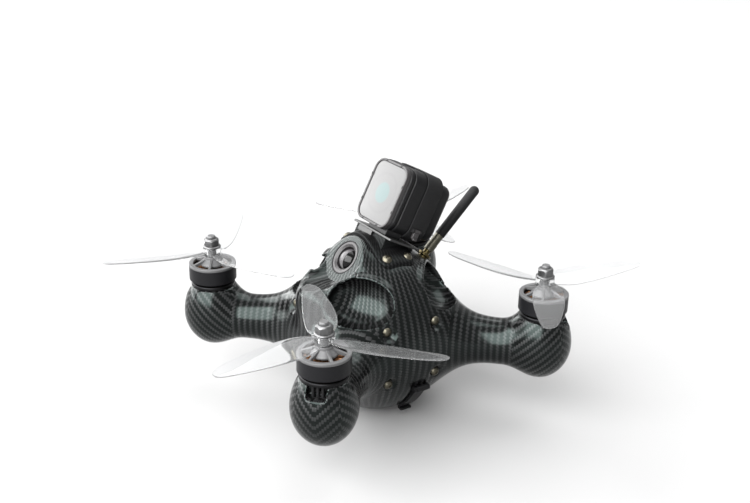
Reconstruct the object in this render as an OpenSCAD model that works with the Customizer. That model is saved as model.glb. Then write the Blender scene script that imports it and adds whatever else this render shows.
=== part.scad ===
// Quadcopter racing drone with a moulded carbon-fibre body: an X of four tubular arms that swell
// into a round hull, four outrunner motors with three-blade propellers, a tilting pilot camera in
// the nose, a clip-on action camera on a bent bracket, and a whip antenna at the back.
// Millimetres, +Z up, front towards -Y, left towards +X. The hull stands on the flat under its belly.

/* [Airframe] */
// Distance of each motor axis from the middle plane, left and right
motor_x = 67; // [64:0.5:72]
// Distance of each motor axis from the middle plane, front and back
motor_y = 71.3; // [68:0.5:76]
// Height of the joint between a motor's silver cap and black ring
rim_z = 77; // [76:0.5:80]
// Radius of the tubular arms
arm_r = 13.5; // [12:0.5:15]
// Radius of the egg-shaped pod under each motor
pod_r = 17.4; // [16:0.2:19]
// Half length of the hull's core along X, Y and Z
core_r = [42.5, 38.5, 52.5]; // [30:0.5:60]
// Thickness of the moulded shells
wall = 2; // [1.6:0.1:2.4]
// Cell size of the grid that the hull is drawn on
cell = 7.5; // [7:0.5:9]

/* [Motors] */
// Outer radius of a motor
bell_r = 13.95; // [13.5:0.05:14.2]
// Radius of the threaded propeller shaft
shaft_r = 2.5; // [2:0.5:3]
// Radius of the axle that turns in the motor's bearing tube
axle_r = 1.5; // [1:0.5:2]
// Gap between a turning surface and its bore
run_gap = 0.05; // [0.02:0.01:0.1]

/* [Propellers] */
// Radius of a propeller
prop_r = 64; // [50:0.5:64]
// Widest chord of a blade
blade_chord = 16.5; // [12:0.5:17]
// Blade angle of each propeller: front left, front right, rear left, rear right
prop_turn = [36.8, 21.5, 82.5, 107.2]; // [0:0.1:120]

/* [Pilot camera] */
// Tilt of the pilot camera and its bezel
fpv_tilt = 36.9; // [20:1:45]
// Radius of the bezel around the pilot camera
fpv_r = 9.5; // [8.5:0.5:11]

/* [Action camera] */
// Tilt of the action camera and its bracket
cam_tilt = 27; // [15:1:35]
// Width, depth and height of the action camera's main case
cam_size = [34, 23.5, 38.5]; // [20:0.5:45]

/* [Antenna] */
// Elevation of the antenna
whip_tilt = 44.4; // [30:1:60]
// Length of the antenna from its connector to its tip
whip_len = 54.5; // [30:0.5:60]

/* [Hidden] */
$fn = 48;
CORNERS = ["front_left", "front_right", "rear_left", "rear_right"];
SIGN = [[1, -1], [-1, -1], [1, 1], [-1, 1]];

// Heights that follow from the rim
seat_z = rim_z - 12;          // flat seat under each motor
arm_z = rim_z - 31.5;         // middle of the arms, where the two shells meet
core_z = rim_z - 26;
pod_z = rim_z - 28;
pod_down = 22.3;
pod_up = 24;
cover_z = 13.6;               // top edge of the belly cover
seam = 0.15;                  // half gap at a seam
arm_len = norm([motor_x, motor_y]);

cap_turn = [50, 27, 17, 40];  // ribs of each motor's cap

// Pilot camera: middle of its bezel, viewing direction, ball radius, ball depth, half of its swing
fpv_c = [0, -19.7, rim_z + 17.9];
fpv_n = [0, -cos(fpv_tilt), sin(fpv_tilt)];
eye_r = fpv_r - 2.7;
collar_r = 13.4;             // collar of the hull round it
eye_back = 5.5;
eye_cut = 2;                  // where the lens starts on the ball
lens_r = 9;
fpv_swing = 8;
pin_r = 1;

// Oval scoops over the arms, which the propeller tips pass
scoop_c = [26, 25, rim_z + 0.2];
scoop_n = [0.56, 0.50, 0.66];
scoop_r = [19.4, 15.3, 11];

// Hull screws, four on each side
screw_half = 15.6;
screw_mid_y = -2.2;
screw_hi = seat_z;
screw_lo = seat_z - 31;
screw_r = 1.5;
head_r = 2.8;
boss_depth = 5;

// Inner frame and board stack
tray_z = [43.5, 45.1];
frame_x = 35;
frame_y = 33.5;
frame_top = 58;
board_z = [49, 56, 63];
board_t = 1.6;
stud = 15.25;

// Action camera: middle of its face, bracket shelf
cam_c = [0, 4.3, rim_z + 52.5];
band_y = [15, 26.5];
shelf_top = -cam_size.z / 2 - 1.65;
shelf_x = [-17, 21.5];
shelf_y = [2, 25.5];
shelf_t = 1.2;

// Antenna
whip_c = [0, 33.4, rim_z + 6.2];
whip_r = 3.05;

// Belly latches
latch_y = 3.6;
latch_z = rim_z - 50.6;
latch_w = 7.2;
latch_r = 1.8;
latch_pin_r = 0.8;

carbon = [0.10, 0.12, 0.12];
black = [0.06, 0.06, 0.07];
silver = [0.78, 0.79, 0.80];

// ---------------------------------------------------------------- hull shape as a distance field

function smin(a, b, k) = let (h = max(k - abs(a - b), 0) / k) min(a, b) - h * h * k / 4;

function ellipsoid(q, r) =
    let (k0 = norm([q.x / r.x, q.y / r.y, q.z / r.z]),
         k1 = norm([q.x / (r.x * r.x), q.y / (r.y * r.y), q.z / (r.z * r.z)]))
    k0 * (k0 - 1) / max(k1, 1e-6);

// Tube along one diagonal; side is 1 or -1
function arm(p, side) =
    let (s0 = (p.x * side * motor_x + p.y * motor_y) / arm_len,
         s = max(-arm_len, min(arm_len, s0)))
    norm([p.x * side - s * motor_x / arm_len, p.y - s * motor_y / arm_len, p.z - arm_z]) - arm_r;

function pod(p) =
    let (q = [abs(p.x) - motor_x, abs(p.y) - motor_y, p.z - pod_z])
    ellipsoid(q, [pod_r, pod_r, q.z > 0 ? pod_up : pod_down]);

// Ridge that runs from the pilot camera down to the front of the hull
nose_a = [0, -14, rim_z + 7.5];
nose_b = [0, -38, rim_z - 2];
function nose(p) =
    let (d = nose_b - nose_a, h = max(0, min(1, (p - nose_a) * d / (d * d))))
    norm(p - nose_a - h * d) - 10.6;

function hull_field(p) =
    let (core = ellipsoid(p - [0, 0, core_z], core_r),
         arms = smin(arm(p, 1), arm(p, -1), 50),
         body = smin(smin(core, arms, 34), pod(p), 8))
    smin(body, nose(p), 14);

// Where the hull's skin lies along +X or along Y, at a given place in the other two
function side_x(y, z, a = 10, b = 70, n = 16) =
    let (m = (a + b) / 2)
    n == 0 ? m : hull_field([m, y, z]) < 0 ? side_x(y, z, m, b, n - 1) : side_x(y, z, a, m, n - 1);
function end_y(dir, x, z, a = 10, b = 80, n = 16) =
    let (m = (a + b) / 2)
    n == 0 ? dir * m : hull_field([x, dir * m, z]) < 0
        ? end_y(dir, x, z, m, b, n - 1) : end_y(dir, x, z, a, m, n - 1);
function top_z(x, y, a = 70, b = 120, n = 16) =
    let (m = (a + b) / 2)
    n == 0 ? m : hull_field([x, y, m]) < 0 ? top_z(x, y, m, b, n - 1) : top_z(x, y, a, m, n - 1);

// Grid that encloses the hull
grid_n = [for (w = [motor_x + pod_r + 4, motor_y + pod_r + 4]) ceil(2 * w / cell)];
grid_lo = [-grid_n.x * cell / 2, -grid_n.y * cell / 2, -7];
grid_k = ceil((rim_z + 34 - grid_lo.z) / cell);

function grid_point(i, j, k) = grid_lo + cell * [i, j, k];
function hull_samples() =
    [for (i = [0:grid_n.x]) [for (j = [0:grid_n.y]) [for (k = [0:grid_k])
        hull_field(grid_point(i, j, k))]]];

// The twelve edges of a cell, as pairs of its corners
CORNER = [for (c = [0:7]) [c % 2, floor(c / 2) % 2, floor(c / 4)]];
EDGES = [for (a = [0:7]) for (b = [a + 1:7]) if (norm(CORNER[a] - CORNER[b]) < 1.1) [a, b]];

// The skin where the field plus inset is zero: one point in each cell that the skin crosses,
// and two triangles across each grid edge that it crosses
function skin(v, inset) =
    let (nx = grid_n.x, ny = grid_n.y, nz = grid_k,
         at = function (i, j, k) v[i][j][k] + inset,
         corners = [for (i = [0:nx - 1]) for (j = [0:ny - 1]) for (k = [0:nz - 1])
             [for (c = CORNER) at(i + c.x, j + c.y, k + c.z)]],
         crossed = [for (c = corners) min(c) < 0 && max(c) >= 0 ? 1 : 0],
         total = len(crossed),
         index = [for (i = 0, s = 0; i < total; s = s + crossed[i], i = i + 1) s],
         points = [for (i = [0:total - 1]) if (crossed[i] == 1)
             let (c = corners[i],
                  hits = [for (e = EDGES) if ((c[e[0]] < 0) != (c[e[1]] < 0))
                      CORNER[e[0]] + (CORNER[e[1]] - CORNER[e[0]]) * c[e[0]] / (c[e[0]] - c[e[1]])],
                  mean = [for (h = hits) 1] * hits / len(hits),
                  cx = floor(i / (ny * nz)), cy = floor(i / nz) % ny)
             grid_lo + cell * ([cx, cy, i % nz] + mean)],
         id = function (i, j, k) index[(i * ny + j) * nz + k],
         quads = concat(
             [for (i = [0:nx - 1]) for (j = [1:ny - 1]) for (k = [1:nz - 1])
                 let (a = at(i, j, k) < 0, b = at(i + 1, j, k) < 0) if (a != b)
                 let (q = [id(i, j - 1, k - 1), id(i, j, k - 1), id(i, j, k), id(i, j - 1, k)])
                 a ? q : [q[3], q[2], q[1], q[0]]],
             [for (i = [1:nx - 1]) for (j = [0:ny - 1]) for (k = [1:nz - 1])
                 let (a = at(i, j, k) < 0, b = at(i, j + 1, k) < 0) if (a != b)
                 let (q = [id(i - 1, j, k - 1), id(i - 1, j, k), id(i, j, k), id(i, j, k - 1)])
                 a ? q : [q[3], q[2], q[1], q[0]]],
             [for (i = [1:nx - 1]) for (j = [1:ny - 1]) for (k = [0:nz - 1])
                 let (a = at(i, j, k) < 0, b = at(i, j, k + 1) < 0) if (a != b)
                 let (q = [id(i - 1, j - 1, k), id(i, j - 1, k), id(i, j, k), id(i - 1, j, k)])
                 a ? q : [q[3], q[2], q[1], q[0]]]))
    [points, [for (q = quads) each [[q[2], q[1], q[0]], [q[3], q[2], q[0]]]]];

// ------------------------------------------------------------------------------- helper modules

module at_motor(i) { translate([SIGN[i].x * motor_x, SIGN[i].y * motor_y, 0]) children(); }
module each_motor() { for (i = [0:3]) at_motor(i) children(); }
module outward(i) { rotate(atan2(SIGN[i].y * motor_y, SIGN[i].x * motor_x)) children(); }
module mirrored() { children(); mirror([1, 0, 0]) children(); }

// Turns local +Z to the pilot camera's viewing direction
module at_fpv(s = 0) { translate(fpv_c + s * fpv_n) rotate([90 - fpv_tilt, 0, 0]) children(); }
// Action camera's own axes: its window faces local -Y
module at_camera() { translate(cam_c) rotate([-cam_tilt, 0, 0]) children(); }
module at_whip(s = 0) { translate(whip_c) rotate([whip_tilt - 90, 0, 0]) translate([0, 0, s]) children(); }

module ring(r0, r1, h) { rotate_extrude() translate([r0, 0]) square([r1 - r0, h]); }
module rounded(w, h, r) {
    square([w - 2 * r, h], center = true);
    square([w, h - 2 * r], center = true);
    for (x = [-1, 1], z = [-1, 1]) translate([x * (w / 2 - r), z * (h / 2 - r)]) circle(r);
}
// Plate of a rounded outline that stands in the XZ plane from y0 to y1
module slab(y0, y1, w, h, r) {
    translate([0, y1, 0]) rotate([90, 0, 0]) linear_extrude(y1 - y0) rounded(w, h, r);
}
module block(x, y, z) { translate([x[0], y[0], z[0]]) cube([x[1] - x[0], y[1] - y[0], z[1] - z[0]]); }

// Hull screws: place on the skin, direction outwards
SCREWS = [for (side = [-1, 1], a = [-1, 1], z = [screw_lo, screw_hi])
    each [[[side * side_x(screw_mid_y + a * screw_half, z), screw_mid_y + a * screw_half, z],
           [0, side * 90, 0]],
          [[a * screw_half, end_y(side, a * screw_half, z), z], [-side * 90, 0, 0]]]];
LOW = [for (s = SCREWS) if (s[0].z < arm_z) s];
HIGH = [for (s = SCREWS) if (s[0].z > arm_z) s];
module each_of(list) { for (s = list) translate(s[0]) rotate(s[1]) children(); }

// Screws that hold the bracket base on the hull's shoulders
shoulder_tilt = 33;
base_t = 1.8;
BASE_SCREWS = [for (x = [-20.6, 20.6], y = [-4.8, 8.4]) [x, y, top_z(x, y)]];
module each_base_screw() {
    for (p = BASE_SCREWS) translate(p) rotate([0, sign(p.x) * shoulder_tilt, 0]) children();
}

module dome_screw(len) {
    intersection() {
        translate([0, 0, -1.44]) sphere(3.24);
        translate([0, 0, 0]) cylinder(r = head_r, h = 2);
    }
    translate([0, 0, -len]) cylinder(r = screw_r, h = len);
}

// ------------------------------------------------------------------------------------- hull

module scoop(grow, facets) {
    n = scoop_n / norm(scoop_n);
    u = [-n.y, n.x, 0] / norm([n.x, n.y]);
    v = cross(n, u);
    for (s = SIGN)
        multmatrix([[s.x * u.x, s.x * v.x, s.x * n.x, s.x * scoop_c.x],
                    [s.y * u.y, s.y * v.y, s.y * n.y, s.y * scoop_c.y],
                    [u.z, v.z, n.z, scoop_c.z], [0, 0, 0, 1]])
            scale([scoop_r.x + grow, scoop_r.y + grow, scoop_r.z + grow]) sphere(1, $fn = facets);
}

// The hull as one solid, drawn in from its outside by inset
module hull_solid(v, inset) {
    s = skin(v, inset);
    difference() {
        union() {
            polyhedron(s[0], s[1]);
            at_fpv(-22) cylinder(r = collar_r - inset, h = 22 - inset);
        }
        scoop(inset, inset > 0 ? 20 : 26);
        at_fpv(-inset) cylinder(r = collar_r + 0.1, h = 20);
        each_motor() translate([0, 0, seat_z - inset]) cylinder(r = 22, h = 30, $fn = 16);
        block([-40, 40], [-40, 40], [-40, inset]);
    }
}

module hull_holes() {
    at_fpv(-3) cylinder(r = fpv_r - 0.3, h = 6);
    at_fpv(-1) cylinder(r = fpv_r + 0.4, h = 6);
    each_of(SCREWS) {
        translate([0, 0, -boss_depth]) cylinder(r = 1.7, h = 20, $fn = 13);
        translate([0, 0, -1.2]) cylinder(r = 3.4, h = 20, $fn = 18);
    }
    each_base_screw() translate([0, 0, -8]) cylinder(r = 1.7, h = 12, $fn = 13);
    each_motor() {
        for (a = [0:90:359]) rotate(a) translate([8, 0, seat_z - 5])
            cylinder(r = 1.7, h = 10, $fn = 13);
        translate([0, 0, seat_z - 5]) cylinder(r = 2.5, h = 10, $fn = 16);
        translate([0, 0, seat_z - wall - 3]) cylinder(r = 11.2, h = 3, $fn = 20);
    }
    for (i = [0:3]) at_motor(i) outward(i) block([9.6, 22], [-5.2, 5.2], [seat_z - 6, seat_z + 2]);
    at_whip(-16) cylinder(r = 3.3, h = 30, $fn = 24);
    mirrored() block([strap_x(9) - 2.4, 60], [latch_y - 4.2, latch_y + 4.2], [6.2, 10.2]);
}

// resize() with no new size keeps the shape and joins its two skins into one mesh
module hull_part(z0, z1) {
    color(carbon) resize([0, 0, 0]) intersection() {
        block([-120, 120], [-120, 120], [z0, z1]);
        difference() {
            v = hull_samples();
            hull_solid(v, 0);
            difference() {
                hull_solid(v, wall);
                each_of(SCREWS) translate([0, 0, -boss_depth]) cylinder(r = 4.4, h = 10, $fn = 18);
                mirrored() block([20, 60], [latch_y - 5.5, latch_y + 5.5], [4.8, 11.6]);
            }
            hull_holes();
        }
    }
}
module upper_shell() { hull_part(arm_z + seam, 150); }
module lower_shell() { hull_part(cover_z + seam, arm_z - seam); }
module belly_cover() { hull_part(0, cover_z - seam); }

module body_screws() {
    color(silver) {
        each_of(LOW) translate([0, 0, -1.2]) dome_screw(9);
        each_of(HIGH) translate([0, 0, -1.2]) dome_screw(boss_depth - 1.4);
        each_base_screw() translate([0, 0, base_t - 0.2]) dome_screw(6);
    }
}

// ------------------------------------------------------------------------- inside the hull

// One printed part: a tray with an upright plate and four screw posts on each side
module inner_frame() {
    color([0.16, 0.16, 0.18]) difference() {
        union() {
            difference() {
                block([-frame_x, frame_x], [-frame_y, frame_y], tray_z);
                block([-9, 9], [17, 28], [tray_z[0] - 1, tray_z[1] + 1]);
            }
            for (s = [-1, 1]) {
                translate([s * (frame_x + 1), screw_mid_y, 0])
                    block([-1, 1], [-19.5, 19.5], [screw_lo - 4, frame_top]);
                translate([0, s * (frame_y + 1), 0])
                    block([-19.5, 19.5], [-1, 1], [screw_lo - 4, frame_top]);
            }
            for (s = LOW)
                let (side = abs(s[0].x) > abs(s[0].y),
                     far = side ? abs(s[0].x) : abs(s[0].y),
                     near = (side ? frame_x : frame_y) + 1)
                translate(s[0]) rotate(s[1]) translate([0, 0, near - far])
                    cylinder(r = 3.4, h = far - near - boss_depth);
        }
        each_of(LOW) translate([0, 0, -12]) cylinder(r = screw_r + run_gap, h = 12);
        for (x = [-stud, stud], y = [-stud, stud]) translate([x, y, tray_z[0] - 1])
            cylinder(r = 1.55, h = 4);
    }
}

module board_standoffs() {
    color([0.75, 0.62, 0.35]) for (x = [-stud, stud], y = [-stud, stud]) translate([x, y, 0]) {
        translate([0, 0, tray_z[0]]) cylinder(r = 1.45, h = board_z[2] + 3.4 - tray_z[0]);
        translate([0, 0, tray_z[1]]) cylinder(r = 2.4, h = board_z[0] - tray_z[1]);
        translate([0, 0, board_z[0] + board_t]) cylinder(r = 2.4, h = board_z[1] - board_z[0] - board_t);
        translate([0, 0, board_z[1] + board_t]) cylinder(r = 2.4, h = board_z[2] - board_z[1] - board_t);
        translate([0, 0, board_z[2] + board_t]) cylinder(r = 2.4, h = 1.6);
    }
}

module board(z, tint) {
    color(tint) translate([0, 0, z]) difference() {
        linear_extrude(board_t) rounded(35.5, 35.5, 2.4);
        for (x = [-stud, stud], y = [-stud, stud]) translate([x, y, -1]) cylinder(r = 1.6, h = 4);
    }
}
module power_board() {
    board(board_z[0], [0.12, 0.25, 0.18]);
    color(black) translate([0, 0, board_z[0] + board_t]) {
        for (x = [-9, 0, 9]) block([x - 2.5, x + 2.5], [-12, -6], [0, 1.6]);
        block([-6, 6], [8, 15], [0, 3]);
    }
}
module flight_controller() {
    board(board_z[1], [0.1, 0.1, 0.12]);
    color(black) translate([0, 0, board_z[1] + board_t]) {
        block([-5, 5], [-5, 5], [0, 1.4]);
        block([-13, -9], [-3, 1], [0, 1]);
        block([8, 13], [-4, 4], [0, 2.2]);
    }
}
module video_transmitter() {
    board(board_z[2], [0.1, 0.16, 0.3]);
    color(silver) translate([0, 0, board_z[2] + board_t]) {
        block([-9, 7], [-11, 3], [0, 2]);
        block([-3, 3], [9, 14], [0, 1.4]);
    }
}
module radio_receiver() {
    color([0.12, 0.3, 0.2]) block([-9, 9], [-32, -22], [tray_z[1], tray_z[1] + 1.2]);
    color(black) block([-4, 4], [-30, -24], [tray_z[1] + 1.2, tray_z[1] + 2.6]);
}

// Pack of flat cells under the tray, with its tabs and plug at the back
battery_z = tray_z[0] - 22;
module battery() {
    color([0.2, 0.22, 0.26]) translate([0, 14, battery_z + 11]) rotate([90, 0, 0])
        linear_extrude(28) rounded(48, 22, 2.5);
}
module battery_plug() {
    color([0.85, 0.7, 0.15]) block([-8, 8], [14, 24], [battery_z + 7, battery_z + 15]);
}

// ---------------------------------------------------------------------------- pilot camera

module fpv_bezel() {
    color([0.5, 0.5, 0.5]) difference() {
        at_fpv() rotate_extrude() polygon([[eye_r + 0.2, -9], [fpv_r - 0.4, -9], [fpv_r - 0.4, -1],
            [fpv_r + 0.3, -1], [fpv_r + 0.3, -0.5], [fpv_r, -0.2], [fpv_r - 1.4, -0.2],
            [eye_r + 0.2, -1.2]]);
        at_fpv(-eye_back) rotate([0, 90, 0]) cylinder(r = pin_r + run_gap, h = 40, center = true);
    }
}
module fpv_camera() {
    color(black) at_fpv(-eye_back) difference() {
        union() {
            intersection() {
                sphere(eye_r);
                translate([0, 0, -7]) cylinder(r = eye_r, h = 7 + eye_cut);
            }
            translate([0, 0, -11]) cylinder(r = 6, h = 5);
            block([-8, 8], [-8, 8], [-12.2, -11]);
            rotate([0, 90, 0]) cylinder(r = pin_r, h = 2 * fpv_r - 1.8, center = true);
        }
        translate([0, 0, eye_cut - 1.4]) cylinder(r = eye_r - 1.8, h = 3);
    }
}
module fpv_lens() {
    r = sqrt(eye_r * eye_r - eye_cut * eye_cut) - 0.08;
    color([0.7, 0.7, 0.7]) at_fpv(-eye_back + eye_cut) {
        intersection() {
            cylinder(r = r, h = 4);
            translate([0, 0, -sqrt(lens_r * lens_r - r * r)]) sphere(lens_r, $fn = 64);
        }
        translate([0, 0, -1.4]) cylinder(r = eye_r - 1.8, h = 2);
    }
}

// ------------------------------------------------------------------- action camera and bracket

module bracket_base() {
    color(black) resize([0, 0, 0]) difference() {
        v = hull_samples();
        s = skin(v, 0);
        grown = skin(v, -base_t);
        union() {
            intersection() {
                at_camera() block([-15, 15], [shelf_y[0] + 2.3, 25.5], [-50, shelf_top]);
                block([-20, 20], [-12, 21], [86, 130]);
            }
            intersection() {
                polyhedron(grown[0], grown[1]);
                translate([0, 1.8, 86]) linear_extrude(30) rounded(51, 23, 6);
            }
        }
        polyhedron(s[0], s[1]);
        at_fpv(-22) cylinder(r = collar_r + 0.2, h = 30);
        at_camera() block([-40, 40], [-20, 60], [shelf_top - shelf_t, 40]);
        each_base_screw() {
            translate([0, 0, base_t - 0.2]) cylinder(r = 3.2, h = 10, $fn = 20);
            translate([0, 0, -4]) cylinder(r = 1.6, h = 12, $fn = 13);
        }
    }
}

// Sheet bracket: a shelf under the camera and a leg down to the base
module camera_bracket() {
    z = shelf_top - shelf_t;
    color(silver) at_camera() {
        block(shelf_x, shelf_y, [z, shelf_top]);
        block([-11.5, 2.2], [shelf_y[0] + 1.1, shelf_y[0] + 2.3], [z - 3.4, z + 0.4]);
    }
}
module camera_case() {
    w = cam_size.x;
    h = cam_size.z;
    color(black) at_camera() difference() {
        union() {
            slab(3, 4.6, w - 1.4, h - 1.4, 7.3);
            slab(4.6, 6, w - 0.6, h - 0.6, 7.7);
            slab(6, 3 + cam_size.y, w, h, 8);
            slab(3 + cam_size.y, 12.5 + cam_size.y, w - 4, h - 4.5, 6);
            block([-4, 14], [shelf_y[0] + 1.4, band_y[0] - 0.4], [shelf_top, 2 - h / 2]);
        }
        translate([0, 10, h / 2 - 2.6]) cylinder(r = 4 + run_gap, h = 10);
    }
}
module camera_bezel() {
    color([0.45, 0.45, 0.46]) at_camera() difference() {
        slab(0, 3, 32, 37, 7);
        slab(-1, 4, 29.2, 34.2, 5.6);
    }
}
module camera_window() {
    color([0.92, 0.94, 0.95]) at_camera() slab(0.5, 3, 29.1, 34.1, 5.55);
}
module shutter_button() {
    color([0.3, 0.3, 0.32]) at_camera() translate([0, 10, cam_size.z / 2 - 2]) {
        cylinder(r = 4, h = 2.2);
        translate([0, 0, 2.2]) cylinder(r1 = 4, r2 = 3.6, h = 0.4);
    }
}
// Axis of the band's latch in the camera's X and Z, and the latch's place along Y
hook = [cam_size.x / 2 + 2, 6.75 - cam_size.z / 2];
hook_y = [17.6, 21.4];
module camera_band() {
    w = cam_size.x;
    h = cam_size.z;
    color([0.14, 0.14, 0.14]) at_camera() {
        difference() {
            slab(band_y[0], band_y[1], w + 1.6, h + 1.5, 8.6);
            slab(band_y[0] - 1, band_y[1] + 1, w + 0.04, h + 0.04, 8.02);
        }
        for (y = [hook_y[0] - 1.3, hook_y[1] + 0.1]) {
            block([w / 2 + 0.1, hook.x], [y, y + 1.2], [hook.y - 1.1, hook.y + 1.1]);
            translate([hook.x, y + 1.2, hook.y]) rotate([90, 0, 0]) cylinder(r = 1.1, h = 1.2);
        }
        translate([hook.x, hook_y[1] + 1, hook.y]) rotate([90, 0, 0])
            cylinder(r = 0.5, h = hook_y[1] - hook_y[0] + 2);
    }
}
module band_latch() {
    color([0.62, 0.62, 0.63]) at_camera() difference() {
        union() {
            translate([hook.x, hook_y[1], hook.y]) rotate([90, 0, 0])
                cylinder(r = 1.1, h = hook_y[1] - hook_y[0]);
            block([hook.x - 1, hook.x + 0.8], hook_y, [hook.y - 4.4, hook.y]);
            block([hook.x - 0.2, hook.x + 1.5], hook_y + [0.6, -0.6],
                [hook.y - 5.2, hook.y - 3.8]);
        }
        translate([hook.x, hook_y[1] + 1, hook.y]) rotate([90, 0, 0])
            cylinder(r = 0.5 + run_gap, h = hook_y[1] - hook_y[0] + 2);
    }
}

// ------------------------------------------------------------------------------------ antenna

module antenna_connector() {
    color([0.75, 0.6, 0.25]) {
        at_whip(-7) cylinder(r = 3.1, h = 9.2);
        at_whip(2) cylinder(r = 4.6, h = 1.6, $fn = 6);
        at_whip(3.4) cylinder(r = 2.2, h = 2.6);
    }
}
module antenna_barrel() {
    color([0.72, 0.7, 0.62]) {
        at_whip(6) ring(0, 3, 5.6);
        at_whip(11.6) ring(0, 2.8, 6);
    }
}
module antenna_whip() {
    color(black) {
        at_whip(17.6) cylinder(r = whip_r, h = whip_len - whip_r - 17.6);
        at_whip(whip_len - whip_r) intersection() {
            sphere(whip_r);
            translate([0, 0, -0.2]) cylinder(r = 4, h = 4);
        }
    }
}

// ------------------------------------------------------------------------------- belly latches

latch_x = side_x(latch_y - latch_w / 2, latch_z) + latch_r + 0.5;
function strap_x(z) = side_x(latch_y - latch_w / 2, z, 5) + 0.35;

module hinge_block(side) {
    color(black) {
        resize([0, 0, 0]) difference() {
            v = hull_samples();
            s = skin(v, 0);
            scale([side, 1, 1]) {
                block([latch_x - 9, latch_x - 2.6], [latch_y - 5, latch_y + 5],
                    [latch_z - 1.2, latch_z + 2.6]);
                for (y = [latch_y - 5, latch_y + 3.8]) {
                    block([latch_x - 4, latch_x], [y, y + 1.2], [latch_z - 1.2, latch_z + 1.6]);
                    translate([latch_x, y + 1.2, latch_z]) rotate([90, 0, 0])
                        cylinder(r = 1.6, h = 1.2, $fn = 24);
                }
            }
            polyhedron(s[0], s[1]);
        }
        translate([side * latch_x, latch_y + 4.3, latch_z]) rotate([90, 0, 0])
            cylinder(r = latch_pin_r, h = 8.6);
    }
}
module latch_hinge_left() { hinge_block(1); }
module latch_hinge_right() { hinge_block(-1); }

// Strap that follows the flank down to the belly cover, with a thumb tab and a lip at its end
module belly_latch(side) {
    levels = [for (z = [7.2:2.3:23.5]) z];
    n = len(levels);
    inner = [for (z = levels) [strap_x(z), z]];
    outer = [for (i = [n - 1:-1:0]) [strap_x(levels[i]) + 1.4, levels[i] - 0.5]];
    color([0.12, 0.12, 0.12]) scale([side, 1, 1]) difference() {
        union() {
            translate([0, latch_y + latch_w / 2, 0]) rotate([90, 0, 0]) linear_extrude(latch_w) {
                polygon(concat(inner, [[latch_x - 0.7, latch_z], [latch_x + 1, latch_z - 0.8]], outer));
                translate([latch_x, latch_z]) circle(latch_r);
                polygon([[strap_x(7.2), 7.4], [strap_x(7.2) + 1.4, 7], [strap_x(7.2) + 3.8, 6.6],
                    [strap_x(7.2) + 3.8, 5.5], [strap_x(7.2) + 0.6, 5.8]]);
                polygon([[strap_x(9.8) + 0.8, 9.8], [strap_x(8.3) + 0.8, 8.3],
                    [strap_x(8.3) - 1.1, 8.7], [strap_x(9.8) - 1.5, 9.5]]);
            }
        }
        translate([latch_x, latch_y + 10, latch_z]) rotate([90, 0, 0])
            cylinder(r = latch_pin_r + run_gap, h = 20);
    }
}
module belly_latch_left() { belly_latch(1); }
module belly_latch_right() { belly_latch(-1); }

// ------------------------------------------------------------------------------------- motors

module motor_screws() {
    color(silver) each_motor() for (a = [0:90:359]) rotate(a) translate([8, 0, 0]) {
        translate([0, 0, seat_z - wall - 1.7]) cylinder(r = 2.6, h = 1.7);
        translate([0, 0, seat_z - wall]) cylinder(r = 1.5, h = wall + 1.8);
    }
}
module motor_wires() {
    color([0.08, 0.08, 0.08]) for (i = [0:3]) at_motor(i) outward(i) for (t = [-2.6, 0, 2.6]) {
        translate([10.6, t, arm_z]) cylinder(r = 0.8, h = seat_z - arm_z);
        translate([10.6, t, arm_z]) sphere(0.8, $fn = 24);
        translate([10.6, t, arm_z]) rotate([0, -90, 0]) cylinder(r = 0.8, h = 10.6 + arm_len - 54);
    }
}
module motor_base(i) {
    color([0.5, 0.5, 0.5]) at_motor(i) difference() {
        union() {
            translate([0, 0, seat_z]) cylinder(r = bell_r - 1, h = 2);
            translate([0, 0, seat_z + 2]) cylinder(r = bell_r - 3.4, h = 0.6);
            translate([0, 0, seat_z]) cylinder(r = 3.4, h = 11.3);
        }
        translate([0, 0, seat_z - 1]) cylinder(r = axle_r + run_gap, h = 14);
        for (a = [0:90:359]) rotate(a) translate([8, 0, seat_z - 1]) cylinder(r = 1.55, h = 3.1);
    }
}
module stator(i) {
    r = bell_r - 2.35;
    color([0.75, 0.4, 0.2]) at_motor(i) {
        translate([0, 0, seat_z + 3.4]) linear_extrude(7.2) difference() {
            circle(r);
            circle(3.4);
            for (a = [0:30:359]) rotate(a) {
                translate([r - 1.4, -0.5]) square([3, 1]);
                translate([5.6, -1.1]) square([r - 6.8, 2.2]);
            }
        }
        translate([0, 0, seat_z + 2.8]) linear_extrude(8.4)
            for (a = [15:30:359]) rotate(a) translate([5.8, -1.3]) square([r - 7.3, 2.6]);
    }
}
module rotor_ring(i) {
    color(black) at_motor(i) rotate_extrude() polygon([[bell_r - 1.9, rim_z - 8.8],
        [bell_r - 0.6, rim_z - 8.8], [bell_r, rim_z - 8], [bell_r, rim_z], [bell_r - 1.9, rim_z]]);
}
module rotor_cap(i) {
    color(silver) at_motor(i) translate([0, 0, rim_z]) {
        rotate_extrude() polygon([[bell_r - 2.6, 0], [bell_r, 0], [bell_r, 1.2],
            [bell_r - 0.4, 1.6], [bell_r - 2.6, 1.6]]);
        intersection() {
            rotate_extrude() polygon([[4, 1.6], [bell_r - 2.2, 0], [bell_r - 2.2, 1.5], [4, 5]]);
            translate([0, 0, -1]) linear_extrude(8) for (a = [0:60:359])
                rotate(cap_turn[i] + a) polygon([[0, -0.9], [14, -0.6], [14, 0.6], [0, 0.9]]);
        }
        rotate_extrude() polygon([[0, 0.8], [7.3, 0.4], [7.3, 1.5], [4.6, 4.2], [4.6, 5.8],
            [0, 5.8]]);
        translate([0, 0, -11.6]) cylinder(r = axle_r, h = 13);
        translate([0, 0, 5]) cylinder(r = shaft_r, h = 13);
        translate([0, 0, 18]) cylinder(r1 = shaft_r, r2 = shaft_r - 0.4, h = 0.4);
    }
}

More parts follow.
